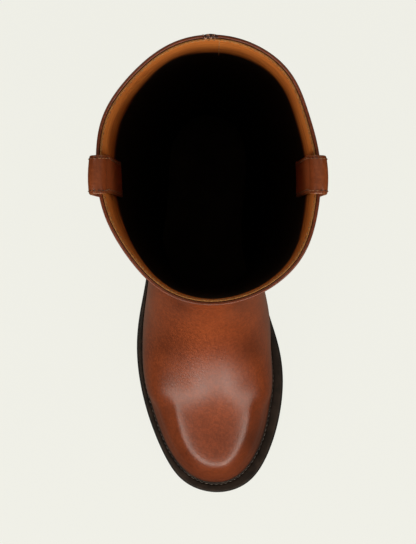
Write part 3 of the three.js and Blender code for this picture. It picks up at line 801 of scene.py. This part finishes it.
def toe_shoulder(grid):
    """The ridge over the edge of the toe stiffener, the drop outside it, and the hollows."""
    knots, fine = np.arange(len(TOE_EDGE)), np.linspace(0, len(TOE_EDGE) - 1, 160)
    line = np.stack([curve(knots, column)(fine) for column in zip(*TOE_EDGE)], axis=-1)
    above_welt = grid[..., 2] - feather_height(grid[..., 1])
    total = -sum(depth * near_spot(grid, x, forward, reach) for x, forward, reach, depth in HOLLOWS)
    total *= ease(2, 13, above_welt) * (grid[..., 2] < 150)
    toe = (grid[..., 1] > 190) & (grid[..., 2] < 80)
    place = grid[toe][:, :2]
    apart = place[:, None] - line
    gap = np.linalg.norm(apart, axis=-1)
    near = gap.argmin(axis=1)
    along = np.gradient(line, axis=0)[near]
    offset = apart[np.arange(len(near)), near]
    outside = np.sign(along[:, 0] * offset[:, 1] - along[:, 1] * offset[:, 0])
    away = outside * gap.min(axis=1) / TOE_EDGE_WIDTH
    held = ease(4, 16, above_welt[toe]) * ease(*TOE_BACK, place[:, 1])
    ridge, fall = TOE_EDGE_STANDS * np.exp(-away ** 2), 0.5 + 0.5 * np.tanh(away)
    total[toe] += held * (ridge - TOE_EDGE_DROP * fall)
    return total


ring_share = np.linspace(0, 1, RINGS + 1)
ring_run = profile_run[-1] * (0.6 * ring_share + 0.4 * ring_share ** 2)
form = last_point(ring_run[:, None] + 0 * turns, turns + 0 * ring_run[:, None])
for _ in range(SMOOTHINGS):
    form += 0.25 * (np.roll(form, 1, axis=1) + np.roll(form, -1, axis=1) - 2 * form)
    form[1:-1] += 0.25 * (form[2:] + form[:-2] - 2 * form[1:-1])
form += (crease_depth(form) + toe_shoulder(form))[..., None] * grid_normals(form)
form_normals = grid_normals(form)


def on_form(ring, turn, out=0.0):
    """Places and normals on the form by ring number and turn, moved out by a distance."""
    ring, turn = np.broadcast_arrays(np.asarray(ring, float), np.asarray(turn, float))
    column = (turn / FULL_TURN * COLUMNS) % COLUMNS
    r0 = np.clip(np.floor(ring).astype(int), 0, RINGS - 1)
    c0 = np.floor(column).astype(int) % COLUMNS
    c1 = (c0 + 1) % COLUMNS
    up, along = (ring - r0)[..., None], (column - np.floor(column))[..., None]

    def read(grid):
        return mix(mix(grid[r0, c0], grid[r0, c1], along),
                   mix(grid[r0 + 1, c0], grid[r0 + 1, c1], along), up)

    normal = read(form_normals)
    normal /= np.linalg.norm(normal, axis=-1, keepdims=True)
    return read(form) + np.asarray(out, float)[..., None] * normal, normal


def ring_of(height, turn):
    """Ring number of a height, at each turn."""
    height, turn = np.broadcast_arrays(np.asarray(height, float), np.asarray(turn, float))
    column = (turn / FULL_TURN * COLUMNS) % COLUMNS
    c0 = np.floor(column).astype(int) % COLUMNS
    numbers = np.arange(RINGS + 1)
    found = [
        mix(np.interp(level, form[:, c, 2], numbers),
            np.interp(level, form[:, (c + 1) % COLUMNS, 2], numbers), part)
        for level, c, part in zip(height.ravel(), c0.ravel(), (column - np.floor(column)).ravel())
    ]
    return np.reshape(found, height.shape)


# ---------------------------------------------------------------- vamp
# The foot of the boot: one piece of burnished calf, lasted over the toe and round the heel.
# Its top edge is lapped over the shaft round the ankle and held by two rows of stitches.

LEATHER = 1.5                    # thickness of the outer leather
LAP_FRONT, LAP_BACK, LAP_DIP = 141, 106, 6         # height of the lapped edge
LAP_STANDS = 0.55                # how far the lapped edge stands over the skin
LAP_FADE = 11                    # and over how much leather it settles back
LAP_ROUND = [(0.1, 0.28), (0.35, 0.45), (0.75, 0.45), (1.1, 0.28)]   # its edge: depth, rise
LAP_INSIDE = [1.25, 1.3]         # how deep its two inner rows behind that edge lie
TUCK, TUCK_RISE = 1.0, 3.5       # the leather turns in where it meets the welt
TUCK_SHARE = 0.03                # share of the vamp that gets close rows for that
# Darker patches on the vamp. The two beside the lap at forward 140 are painted shade in the ankle
# creases; the others darken the sides.
DARKER_SPOTS = [                # x, forward, reach
    (-26, 169, 13), (29, 172, 12), (30, 236, 12), (-27, 196, 10), (-18, 140, 8), (21, 140, 8),
]
SPOT_DARKENING = 0.4
CALF = ("#3c180c", "#823a1a", "#9e4c27")


def lap_height(turn):
    front = (1 - np.cos(turn)) / 2
    return mix(LAP_BACK, LAP_FRONT, front ** 1.2) - LAP_DIP * np.sin(turn) ** 2


def burnished_calf(name, deep, body, warm, raw_edge=None):
    """Full-grain calf, dyed, burnished and waxed by hand: a fine pebbled grain, colour that
    darkens at edges and seams by burnishing and also with painted shade, a soft gloss over the
    grain, and a pale edge where cut raw."""
    material, tree, where = new_material(name)
    # Darkening read from the mesh: burnishing at edges and seams, and painted shade where the
    # pieces set it.
    burnish_and_shade = add(tree, "ShaderNodeAttribute", attribute_name="burnish_and_shade").outputs["Fac"]
    cloud = add(tree, "ShaderNodeTexNoise", {
        "Vector": where, "Scale": per_metre(38), "Detail": 4.0, "Roughness": 0.55,
    })
    fleck = add(tree, "ShaderNodeTexNoise", {
        "Vector": where, "Scale": per_metre(2.2), "Detail": 3.0, "Roughness": 0.6,
    })
    pebble = add(tree, "ShaderNodeTexVoronoi", {
        "Vector": where, "Scale": per_metre(1.1), "Smoothness": 0.6,
    }, feature="SMOOTH_F1")
    fine = add(tree, "ShaderNodeTexNoise", {
        "Vector": where, "Scale": per_metre(0.5), "Detail": 1.0,
    })
    grain = add(tree, "ShaderNodeMath", {0: pebble, 1: -0.35, 2: fleck}, operation="MULTIPLY_ADD")
    mottled = add(tree, "ShaderNodeMix", {
        "Factor": 0.3,
        6: add(tree, "ShaderNodeValToRGB", {"Fac": cloud}, [(0.32, body), (0.68, warm)]),
        7: add(tree, "ShaderNodeValToRGB", {"Fac": grain}, [(0.2, deep), (0.5, warm)]),
    }, data_type="RGBA")
    colour = add(tree, "ShaderNodeMix", {
        "Factor": burnish_and_shade, 6: mottled.outputs[2], 7: linear(deep),
    }, data_type="RGBA").outputs[2]
    if raw_edge:
        raw = add(tree, "ShaderNodeAttribute", attribute_name="cut_edge").outputs["Fac"]
        colour = add(tree, "ShaderNodeMix", {
            "Factor": raw, 6: colour, 7: linear(raw_edge),
        }, data_type="RGBA").outputs[2]
    relief = add(tree, "ShaderNodeMath", {0: fine, 1: 0.25, 2: pebble}, operation="MULTIPLY_ADD")
    rough = add(tree, "ShaderNodeMapRange", {"Value": fleck, "To Min": 0.27, "To Max": 0.33})
    finish(tree, colour, rough, (relief, 0.45, 0.14), {"IOR": 1.5})
    return material


def spread(count, power=1.0):
    return np.linspace(0, 1, count) ** power


lap_ring = ring_of(lap_height(turns), turns)
vamp_up = np.concatenate([TUCK_SHARE * spread(9)[:-1], mix(TUCK_SHARE, 1, spread(110))])
vamp_ring = vamp_up[:, None] * lap_ring
vamp_skin, vamp_normal = on_form(vamp_ring, turns)
below_lap = lap_height(turns) - vamp_skin[..., 2]
above_welt = vamp_skin[..., 2] - vamp_skin[0, :, 2]
tucked = 1 - ease(0, TUCK_RISE, above_welt)
vamp_out = LAP_STANDS * (1 - ease(0, LAP_FADE, below_lap)) - TUCK * tucked ** 2
vamp_skin = vamp_skin + vamp_out[..., None] * vamp_normal
vamp_skin[..., 2] -= WELT_LIFT * tucked
lap_round = [
    on_form(lap_ring, turns, LAP_STANDS - depth)[0] + [0, 0, rise]
    for depth, rise in LAP_ROUND
]
inner_share = spread(40)[::-1]
vamp_inside = on_form(inner_share[:, None] * lap_ring, turns, -LEATHER)[0]
vamp_inside[0] = on_form(lap_ring, turns, LAP_STANDS - LAP_INSIDE[0])[0]
vamp_inside[1] = on_form(inner_share[1] * lap_ring, turns, -LAP_INSIDE[1])[0]
vamp_rows = np.concatenate([vamp_skin, lap_round, vamp_inside])
# The vamp darkens along the lapped edge from burnishing, and near the welt and up the low sides
# from burnishing and painted shade together; the darker spots add to it.
foot_burnish_and_shade = np.clip(
    0.45 * (1 - ease(0, 12, above_welt)) + 0.6 * (1 - ease(6, 34, above_welt))
    + 0.45 * (1 - ease(0, 7, below_lap)), 0, 1,
)
for spot in DARKER_SPOTS:
    foot_burnish_and_shade += SPOT_DARKENING * near_spot(vamp_skin, *spot)
vamp_burnish_and_shade = np.ones((len(vamp_rows), COLUMNS))
vamp_burnish_and_shade[:len(vamp_skin)] = np.clip(foot_burnish_and_shade, 0, 1)
vamp = skin("vamp", vamp_rows, wrap=True, values={"burnish_and_shade": vamp_burnish_and_shade})
calf = burnished_calf("burnished_calf", *CALF)
fit(vamp, calf, "upper_leather", "upper")

# ---------------------------------------------------------------- shaft
# The leg of the boot: burnished calf, thinned under the vamp's lap, sewn up the back.
# Its top edge is turned in and sewn down, which leaves a rounded bead round the collar.

SKIVE = 0.6                      # thickness under the lap
LAP_UNDER = 10                   # how far the shaft runs down under the vamp
RIM_RADIUS = 0.85
BEAD_STANDS = 0.25
BEAD_SHAPE = [(1.4, 1.3, 1), (3.8, 0.8, -0.7)]     # under the rim, reach and share of the bead
# Darkening of the rim and of the bead under it: partly burnishing and partly painted shade on the
# rim's top.
RIM_BURNISH_AND_SHADE = 0.3

shaft_from = ring_of(lap_height(turns) - LAP_UNDER, turns)
top_ring = ring_of(BOOT_HEIGHT - RIM_RADIUS, turns)
shaft_up = np.concatenate([mix(0, 0.1, spread(22))[:-1], mix(0.1, 0.94, spread(100))[:-1],
                           mix(0.94, 1, spread(24))])
shaft_ring = shaft_from + shaft_up[:, None] * (top_ring - shaft_from)
shaft_skin, shaft_normal = on_form(shaft_ring, turns)
over_lap = shaft_skin[..., 2] - lap_height(turns)
from_rim = BOOT_HEIGHT - shaft_skin[..., 2]
bead = sum(share * np.exp(-((from_rim - under) / reach) ** 2) for under, reach, share in BEAD_SHAPE)
shaft_out = BEAD_STANDS * bead - (LEATHER - SKIVE) * (1 - ease(-1, 6, over_lap))
shaft_skin = shaft_skin + shaft_out[..., None] * shaft_normal
rim_normal = shaft_normal[-1] * [1, 1, 0]
rim_normal /= np.linalg.norm(rim_normal, axis=1, keepdims=True)
rim_round = [
    shaft_skin[-1] + RIM_RADIUS * ((math.cos(angle) - 1) * rim_normal + [0, 0, math.sin(angle)])
    for angle in np.linspace(0, math.pi, 11)[1:]
]
inside_ring = shaft_from + spread(50)[::-1][1:, None] * (top_ring - shaft_from)
shaft_inside = on_form(inside_ring, turns, -LEATHER)[0]
shaft_rows = np.concatenate([shaft_skin, rim_round, shaft_inside])
# The shaft darkens just above the lap's edge from burnishing, and at the rim from burnishing and
# painted shade on its top.
shaft_burnish_and_shade = np.full((len(shaft_rows), COLUMNS), RIM_BURNISH_AND_SHADE)
shaft_burnish_and_shade[:len(shaft_skin)] = np.clip(
    0.5 * (1 - ease(0, 10, over_lap)) + RIM_BURNISH_AND_SHADE * (1 - ease(1.5, 8, from_rim)), 0, 1,
)
shaft = skin("shaft", shaft_rows, wrap=True, values={"burnish_and_shade": shaft_burnish_and_shade})
fit(shaft, calf, "upper_leather")

# ---------------------------------------------------------------- lining
# Tan calf lining, cemented inside the shaft and cut just under the bead, so its raw edge
# shows as a thin pale line. Lower down the leg it is painted near black as shade, below a line
# that follows how far the light reaches in. A closed seam shows inside.

LINING = 0.8
LINING_GAP = 0.05
LINING_DROP = 0.2                # its cut edge under the top of the bead
LINING_EDGE = [(0.12, 0.22), (0.35, 0.3), (0.65, 0.3), (0.88, 0.22)]   # share across, rise
# Height round the turn where the painted shade inside the leg begins: low at the back and sides,
# high at the front.
LINING_SHADE_LINE = [                     # turn in degrees and height where the tan facing ends
    (0, 341), (22, 345), (60, 350), (112, 352), (154, 377), (180, 389), (210, 362), (247, 334),
    (291, 334), (336, 350),
]
LINING_SHADE_FADE = 3.5                   # it fades into black over twice this height
LINING_SEAM_X = 6.0              # the closed seam, towards the medial side of the back


def tan_lining():
    """Lining calf from a vegetable tannage: open, dry and golden, rubbed paler on its cut edge,
    with long soft streaks down the leg, and painted near black as shade lower down the leg."""
    material, tree, where = new_material("tan_lining")
    raw, clear_of_painted_shade = (
        add(tree, "ShaderNodeAttribute", attribute_name=name).outputs["Fac"]
        for name in ("cut_edge", "clear_of_painted_shade")
    )
    tall = add(tree, "ShaderNodeMapping", {"Vector": where, "Scale": (0.2, 0.2, 1.2)})
    streak = add(tree, "ShaderNodeTexNoise", {
        "Vector": tall, "Scale": per_metre(5), "Detail": 4.0, "Roughness": 0.6,
    })
    nap = add(tree, "ShaderNodeTexNoise", {
        "Vector": where, "Scale": per_metre(0.8), "Detail": 3.0,
    })
    # Painted shade: below its line the lining turns near black.
    shade_and_streaks = add(tree, "ShaderNodeMix", {
        "Factor": clear_of_painted_shade, 6: linear("#221c15"),
        7: add(tree, "ShaderNodeValToRGB", {"Fac": streak}, [(0.3, "#ac5c24"), (0.7, "#d8853a")]),
    }, data_type="RGBA")
    colour = add(tree, "ShaderNodeMix", {
        "Factor": raw, 6: shade_and_streaks.outputs[2],
        7: add(tree, "ShaderNodeValToRGB", {"Fac": nap}, [(0.35, "#8c5628"), (0.65, "#b47c44")]),
    }, data_type="RGBA").outputs[2]
    finish(tree, colour, 0.7, (nap, 0.3, 0.15), {"IOR": 1.4, "Specular IOR Level": 0.25})
    return material


lining_outer = -2 * RIM_RADIUS - LINING_GAP
lining_top = ring_of(BOOT_HEIGHT - LINING_DROP - 0.3, turns)
lining_down = spread(34)[::-1] ** 0.8
lining_back = on_form(lining_down[:, None] * lining_top, turns, lining_outer)[0][::-1]
lining_front_ring = np.concatenate([1 - 0.03 * spread(8), 0.97 * (1 - spread(100)[1:])])
lining_face = on_form(lining_front_ring[:, None] * lining_top, turns, lining_outer - LINING)[0]
lining_edge = [
    on_form(lining_top, turns, lining_outer - LINING * share)[0] + [0, 0, rise]
    for share, rise in LINING_EDGE
]
lining_rows = np.concatenate([lining_back, lining_edge, lining_face])
cut_edge = np.zeros((len(lining_rows), COLUMNS))
cut_edge[len(lining_back) - 1:len(lining_back) + len(lining_edge) + 1] = 1
# Below this line the lining is painted near black as shade.
shade_line = np.interp(np.degrees(turns), *zip(*LINING_SHADE_LINE), period=360)
clear_of_painted_shade = ease(shade_line - LINING_SHADE_FADE, shade_line + LINING_SHADE_FADE, lining_rows[..., 2])
lining = skin("lining", lining_rows, wrap=True, values={"cut_edge": cut_edge, "clear_of_painted_shade": clear_of_painted_shade})
fit(lining, tan_lining(), "lining_leather")

# ---------------------------------------------------------------- back strip
# A narrow strip of the same calf over the back seam, from the welt to the collar.
# It is sewn along both edges, turned over the rim and held there by a bar tack.

STRIP_TOP, STRIP_ANKLE, STRIP_HEEL = 4.0, 4.6, 6.5     # half widths
STRIP_STANDS = 0.7
STRIP_FOOT, STRIP_CUT = 43, 0.3  # its lower end, and how far its edges sink in the leather
STRIP_SHAPE = [                  # place across, thickness, and thickness where it is pared
    (-1, 0.25, 0.05), (-0.97, 0.7, 0.1), (-0.9, 0.95, 0.22), (-0.45, 1.03, 0.72), (0, 1.05, 0.9),
    (0.45, 1.03, 0.72), (0.9, 0.95, 0.22), (0.97, 0.7, 0.1), (1, 0.25, 0.05),
]
PARED = (372, 396)               # heights over which it is pared towards the rim
RIM_STEPS = 9                    # rows that turn it over the rim


def strip_half(height):
    return np.interp(height, [STRIP_FOOT, 105, 400], [STRIP_HEEL, STRIP_ANKLE, STRIP_TOP])


def over_lap_edge(height):
    """How far a row up the back is lifted where it crosses the lapped edge."""
    return LAP_STANDS * np.exp(-((height - LAP_BACK + 4) / 9) ** 2)


def turn_at_x(height, x):
    """The turn near the back of the boot at which the skin reaches this x."""
    near = np.linspace(-0.6, 0.6, 121)
    found = []
    for level, aim in zip(np.ravel(height), np.ravel(x)):
        across = on_form(ring_of(np.full(near.shape, level), near), near)[0][:, 0]
        found.append(np.interp(aim, across, near))
    return np.reshape(found, np.shape(height))


back_x = curve([STRIP_FOOT, 140, 400], [0, 1.0, 1.2])
strip_heights = np.concatenate([
    np.linspace(STRIP_FOOT, 390, 70), np.linspace(392, BOOT_HEIGHT - RIM_RADIUS, 8),
])
strip_places, strip_flat, strip_pared = (np.array(column) for column in zip(*STRIP_SHAPE))
strip_level, strip_place = np.meshgrid(strip_heights, strip_places, indexing="ij")
strip_x = back_x(strip_level) + strip_place * strip_half(strip_level)
strip_turn = turn_at_x(strip_level, strip_x)
strip_dome = STRIP_STANDS * mix(strip_flat, strip_pared, ease(*PARED, strip_level))
strip_under, strip_normal = on_form(
    ring_of(strip_level, strip_turn), strip_turn, over_lap_edge(strip_level) - STRIP_CUT,
)
strip_over = strip_under + (STRIP_CUT + strip_dome)[..., None] * strip_normal
out_way = strip_normal[-1] * [1, 1, 0]
out_way /= np.linalg.norm(out_way, axis=1, keepdims=True)
over_rim, under_rim = [], []
for angle in np.linspace(0, math.pi, RIM_STEPS + 1)[1:]:
    back, up = (math.cos(angle) - 1) * out_way, np.array([0, 0, math.sin(angle)])
    thick = strip_dome[-1][:, None] * 0.5
    under_rim.append(strip_under[-1] + (RIM_RADIUS - 0.1) * (back + up))
    over_rim.append(strip_over[-1] + (RIM_RADIUS + 0.15) * back + (RIM_RADIUS + thick) * up)
strip_over = np.concatenate([strip_over, over_rim])
strip_under = np.concatenate([strip_under, under_rim])
strip_rows = np.concatenate([strip_over, strip_under[:, ::-1]], axis=1)


def closed_strip(name, rows, values):
    """A strip from closed cross sections, with a flat face over both ends."""
    index, across = numbered(rows), rows.shape[1]
    faces = grid_faces(index)
    for end in index[[0, -1]].tolist():
        faces += [[end[i], end[i + 1], end[across - 2 - i], end[across - 1 - i]]
                  for i in range(across // 2 - 1)]
    return build(name, rows, faces, values)


strip_burnish = np.tile(
    np.concatenate([0.75 - 0.45 * (1 - np.abs(strip_places) ** 6), np.ones(len(strip_places))]),
    (len(strip_rows), 1),
)
strip_burnish[-RIM_STEPS:] = 0.9
back_strip = closed_strip("back_strip", strip_rows, {"burnish_and_shade": strip_burnish})
fit(back_strip, calf, "upper_leather")

# ---------------------------------------------------------------- stitches of the upper
# Tan waxed thread: the row that holds the turned collar, both rows of the lap, the edges
# of the back strip, and the rows that come through inside on the lining.

SEAM = (2.5, 1.9, 0.24)          # pitch, stitch and thread of the outer seams
COLLAR_ROW = 3.6                 # under the top of the rim
LAP_ROWS = (2.0, 4.4)
TACK_OVER = 0.45                 # the bar tack lies over the strip
TACK_SEAM = (1.45, 1.4, 0.26)    # its pitch, stitch and thread
LINING_SEAM = (2.7, 1.7, 0.2)    # the same for the rows on the lining
STRIP_ROW = 1.3                  # inside the strip's edge
LINING_ROW, SEAM_LENGTH = 2.0, (6, 70)      # under the rim: the row, the seam's two ends

tan_thread = waxed_thread("waxed_thread_tan", "#54301a", "#9a6a42")
seam_lines = [on_form(ring_of(BOOT_HEIGHT - COLLAR_ROW, seam_turns), seam_turns, 0.0)]
for drop in LAP_ROWS:
    seam_lines.append(on_form(
        ring_of(lap_height(seam_turns) - drop, seam_turns), seam_turns, LAP_STANDS * 0.9,
    ))
upper_seams = stitches("collar_and_lap_stitches", seam_lines, *SEAM)
fit(upper_seams, tan_thread, "upper_leather")

row_heights = np.linspace(STRIP_FOOT + 2, BOOT_HEIGHT - 2.5, 160)
row_out = STRIP_STANDS * mix(0.97, 0.45, ease(*PARED, row_heights)) + over_lap_edge(row_heights)
strip_lines = []
for side in (-1, 1):
    row_x = back_x(row_heights) + side * (strip_half(row_heights) - STRIP_ROW)
    row_turn = turn_at_x(row_heights, row_x)
    strip_lines.append(on_form(ring_of(row_heights, row_turn), row_turn, row_out))
strip_seams = stitches("back_strip_stitches", strip_lines, *SEAM)
fit(strip_seams, tan_thread, "upper_leather")

# The bar tack: cream stitches over the rim at the top of the back strip, some across them.
TACK = [(-3.2, 0.8), (-1.9, -0.6), (-0.5, 0.7), (0.9, -0.8), (2.2, 0.5)]   # place and lean
tack_level = BOOT_HEIGHT - RIM_RADIUS
tack_lines = []
for across, lean in TACK:
    swing = np.linspace(0.15, math.pi - 0.15, 24)[:, None]
    tack_x = back_x(BOOT_HEIGHT) + across + np.linspace(-lean, lean, 24)
    tack_turn = turn_at_x(np.full(24, tack_level), tack_x)
    edge_place, edge_way = on_form(ring_of(tack_level, tack_turn), tack_turn)
    edge_way = edge_way * [1, 1, 0]
    bow = np.cos(swing) * edge_way + np.sin(swing) * np.array([0, 0, 1.0])
    tack_lines.append((edge_place - RIM_RADIUS * edge_way + (RIM_RADIUS + TACK_OVER) * bow, bow))
tack = stitches("bar_tack_stitches", tack_lines, *TACK_SEAM)
fit(tack, waxed_thread("waxed_thread_cream", "#8a5a3c", "#d0a088"), "upper_leather")


def on_lining(height, turn):
    """A line on the lining's face, with normals that point into the boot."""
    points, normals = on_form(ring_of(height, turn), turn, lining_outer - LINING)
    return points, -normals


seam_drop = BOOT_HEIGHT - np.linspace(*SEAM_LENGTH, 60)
lining_lines = [
    on_lining(BOOT_HEIGHT - LINING_ROW, seam_turns),
    on_lining(seam_drop, turn_at_x(seam_drop, np.full(60, LINING_SEAM_X))),
]
lining_seams = stitches("lining_stitches", lining_lines, *LINING_SEAM)
fit(lining_seams, waxed_thread("waxed_thread_pale", "#7a5230", "#b48c60"), "lining_leather")

# ---------------------------------------------------------------- pull straps
# A doubled calf strap on each side, sewn down outside, looped over the rim and sewn down
# inside. Its two long edges are cut raw and run paler than its face.

STRAP_WIDTH, STRAP_THICKNESS, STRAP_FORWARD = 19.4, 2.2, 70.8
STRAP_PATH = [                   # distance of the middle outside the skin, and height
    (1.4, 352), (1.4, 368), (1.4, 384), (1.5, 396), (2, 403), (1.9, 408), (0.6, 412.2),
    (-1.9, 413.8), (-4.3, 411.8), (-5.2, 407), (-4.9, 400), (-4.4, 390), (-4.1, 380),
    (-3.9, 360), (-3.85, 340), (-3.85, 322),
]
STRAP_LEAN = -2                  # the inner leg of the loop sits slightly further back
# The straps' calf is a lighter copy of the boot's calf: painted light, for the light the straps
# catch at the rim.
STRAP_CALF_PAINTED_LIGHTER = ("#4a1e0e", "#a04e26", "#ba6236")
STRAP_TWIST = {-1: 1.7, 1: 0.3}   # how far the front edge stands out at the rim, each side
STRAP_ROW = 1.6                  # stitch rows inside the long edges
STITCH_LIFT = 0.98

strap_steps = np.linalg.norm(np.diff(STRAP_PATH, axis=0), axis=1)
strap_knots = np.concatenate([[0], np.cumsum(strap_steps)])
strap_out_at, strap_height_at = (curve(strap_knots, column) for column in zip(*STRAP_PATH))
loop_run = np.linspace(0, strap_knots[-1], 120)


def strap_point(side, run, place, shift):
    """A place on a strap: along its loop, across its width, and off its middle layer."""
    slope_out = strap_out_at(run + 0.2) - strap_out_at(run - 0.2)
    slope_up = strap_height_at(run + 0.2) - strap_height_at(run - 0.2)
    size = np.hypot(slope_out, slope_up)
    lean = STRAP_LEAN * ease(strap_knots[6], strap_knots[-1] * 0.62, run)
    forward = STRAP_FORWARD + lean + place * STRAP_WIDTH / 2
    level = strap_height_at(run) - shift * slope_out / size
    out = strap_out_at(run) + shift * slope_up / size
    wall = np.minimum(level, BOOT_HEIGHT)
    out = out + STRAP_TWIST[side] * (place + 1) / 2 * ease(362, 398, level)
    x = leg_middle(forward, wall) + side * (leg_width(forward, wall) + out)
    return np.stack(np.broadcast_arrays(x, forward, level), axis=-1)


def strap_section():
    """The strap's cross section: (place, shift, how raw) round a bar with broken edges."""
    face = [(-0.985, 0.6, 0.6), (-0.955, 0.8, 0.15), (-0.9, 0.86, 0), (-0.845, 0.78, 0),
            (-0.79, 0.96, 0), (-0.35, 1.05, 0), (0, 1.07, 0)]
    face += [(-place, shift, raw) for place, shift, raw in reversed(face[:-1])]
    edge = [(1, 0.45, 1), (0.995, 0.06, 1), (0.985, 0, 0.5), (0.995, -0.06, 1), (1, -0.45, 1)]
    half = face + edge
    return np.array(half + [(-place, -shift, raw) for place, shift, raw in half])


strap_leather = burnished_calf("strap_calf_painted_lighter", *STRAP_CALF_PAINTED_LIGHTER, raw_edge="#a86a3e")
section = strap_section()
section_shift = section[:, 1] * STRAP_THICKNESS / 2
# The top of the loop is darker: painted shade where it faces up.
painted_top_shade = 0.45 * np.exp(-((loop_run - strap_knots[8]) / 7) ** 2)
strap_values = {
    "cut_edge": np.outer(0.2 + 0.8 * ease(strap_knots[5], strap_knots[7], loop_run), section[:, 2]),
    "burnish_and_shade": painted_top_shade[:, None] + 0.35 * np.abs(section[:, 0]) ** 8,
}
stitch_place = 1 - 2 * STRAP_ROW / STRAP_WIDTH
row_run = np.linspace(1.5, strap_knots[-1] - 1.5, 160)
strap_rows = [                   # along both long edges, and across the lower end
    (row_run, -stitch_place, STITCH_LIFT), (row_run, stitch_place, STITCH_LIFT),
    (np.full(20, 3.0), np.linspace(-stitch_place, stitch_place, 20), 1),
]
for side, name in ((-1, "lateral"), (1, "medial")):
    bar = strap_point(side, loop_run[:, None], section[:, 0], section_shift)
    strap = capped_bars("pull_strap_" + name, [bar], strap_values)
    fit(strap, strap_leather, "strap_leather", "pull_strap_" + name)
    lines = []
    for run, place, lift in strap_rows:
        top = strap_point(side, run, place, STRAP_THICKNESS / 2 * lift)
        normal = top - strap_point(side, run, place, 0)
        lines.append((top, normal / np.linalg.norm(normal, axis=1, keepdims=True)))
    sewn = stitches("pull_strap_stitches_" + name, lines, *SEAM)
    fit(sewn, tan_thread, "strap_leather")

# ---------------------------------------------------------------- studio
# A pale sweep lit evenly from below, a low soft light all round and dark above, and a
# camera straight over the boot.

PAPER = "#efefe7"
SET_CENTRE = (0, -0.085, 0)      # metres, under the middle of the foot
CAMERA_FORWARD, CAMERA_HEIGHT, CAMERA_LENS = 119.3, 1345, 123.8
WARM = (1, 0.95, 0.86)
PAPER_GLOW = 0.965
FLOOR_HALF, BOUNCE_HALF, BOUNCE_DROP = 8, 3, 0.001           # metres
BOUNCE_REACH, BOUNCE_LIGHT = (0.12, 0.3), (0.2, 0.02)        # near and far from the boot
BOX_AIM = (0.1, 0.1)             # metres in front of the origin and up
FRONT_ELEVATION, BACK_ELEVATION = 29, 30
FRONT_BOX = (1.6, 1.3, 0.8, 4.4)           # distance, width, height and power of a box,
BOX_CORE = (1.59, 1.3, 0.4, 6)             # of the bright core before it,
BACK_BOX = (1.8, 1.2, 0.8, 4)              # and of a box behind the boot


def level_card(name, half, height, material):
    """A level square of the studio, centred under the boot."""
    mesh = bpy.data.meshes.new(name)
    corners = [(-half, -half), (half, -half), (half, half), (-half, half)]
    mesh.from_pydata([(x, y + SET_CENTRE[1], height) for x, y in corners], [], [(0, 1, 2, 3)])
    mesh.materials.append(material)
    card = bpy.data.objects.new(name, mesh)
    bpy.context.scene.collection.objects.link(card)
    return card


paper, tree, _ = new_material("lit_paper")
put_out(tree, add(tree, "ShaderNodeAddShader", {
    0: add(tree, "ShaderNodeEmission", {"Color": linear(PAPER), "Strength": PAPER_GLOW}),
    1: add(tree, "ShaderNodeBsdfDiffuse", {"Color": linear("#3a3a38")}),
}))
floor = level_card("floor", FLOOR_HALF, 0, paper)
floor.visible_diffuse = floor.visible_glossy = False

# The light that the paper throws back falls off away from the boot, as under a small set.
bounce, tree, place = new_material("paper_bounce")
away = add(tree, "ShaderNodeVectorMath", {0: place, 1: SET_CENTRE}, operation="DISTANCE")
falling = add(tree, "ShaderNodeMapRange", {
    "Value": away.outputs["Value"],
    "From Min": BOUNCE_REACH[0], "From Max": BOUNCE_REACH[1],
    "To Min": BOUNCE_LIGHT[0], "To Max": BOUNCE_LIGHT[1],
}, interpolation_type="SMOOTHSTEP")
put_out(tree, add(tree, "ShaderNodeEmission", {"Color": linear("#efdfc6"), "Strength": falling}))
bounce_card = level_card("paper_bounce", BOUNCE_HALF, -BOUNCE_DROP, bounce)
bounce_card.visible_camera = False

world = bpy.data.worlds.new("studio")
bpy.context.scene.world = world
world.use_nodes = True
sky = world.node_tree
sky.nodes.clear()
direction = add(sky, "ShaderNodeTexCoord").outputs["Generated"]
upward = add(sky, "ShaderNodeSeparateXYZ", {"Vector": direction}).outputs["Z"]
tent = add(sky, "ShaderNodeValToRGB", {"Fac": upward}, [
    (0.0, "#3c3934"), (0.3, "#403c36"), (0.75, "#807b72"),
])
seen = add(sky, "ShaderNodeMixShader", {
    0: add(sky, "ShaderNodeLightPath").outputs["Is Camera Ray"],
    1: add(sky, "ShaderNodeBackground", {"Color": tent}),
    2: add(sky, "ShaderNodeBackground", {"Color": linear(PAPER)}),
})
add(sky, "ShaderNodeOutputWorld", {"Surface": seen})


def soft_light(name, azimuth, elevation, distance, width, height, power):
    """A soft box aimed at the foot of the boot; azimuth 0 stands in front of the toe."""
    lamp = bpy.data.lights.new(name, "AREA")
    lamp.shape, lamp.size, lamp.size_y, lamp.energy = "RECTANGLE", width, height, power
    lamp.color = WARM
    stand = bpy.data.objects.new(name, lamp)
    around, up = math.radians(azimuth), math.radians(elevation)
    stand.location = (
        distance * math.cos(up) * math.sin(around),
        -BOX_AIM[0] - distance * math.cos(up) * math.cos(around),
        BOX_AIM[1] + distance * math.sin(up),
    )
    stand.rotation_euler = (math.pi / 2 - up, 0, around)
    bpy.context.scene.collection.objects.link(stand)


for name, azimuth in (("left_box", -46), ("front_box", 0), ("right_box", 46)):
    soft_light(name, azimuth, FRONT_ELEVATION, *FRONT_BOX)
    soft_light(name + "_core", azimuth, FRONT_ELEVATION, *BOX_CORE)
for name, azimuth in (("back_left_box", -140), ("back_right_box", 140)):
    soft_light(name, azimuth, BACK_ELEVATION, *BACK_BOX)

lens = bpy.data.cameras.new("camera")
lens.lens = CAMERA_LENS
camera = bpy.data.objects.new("camera", lens)
camera.location = (0, (HEEL_CENTRE - CAMERA_FORWARD) * MM, CAMERA_HEIGHT * MM)
bpy.context.scene.collection.objects.link(camera)
bpy.context.scene.camera = camera
bpy.context.scene.view_settings.view_transform = "Standard"
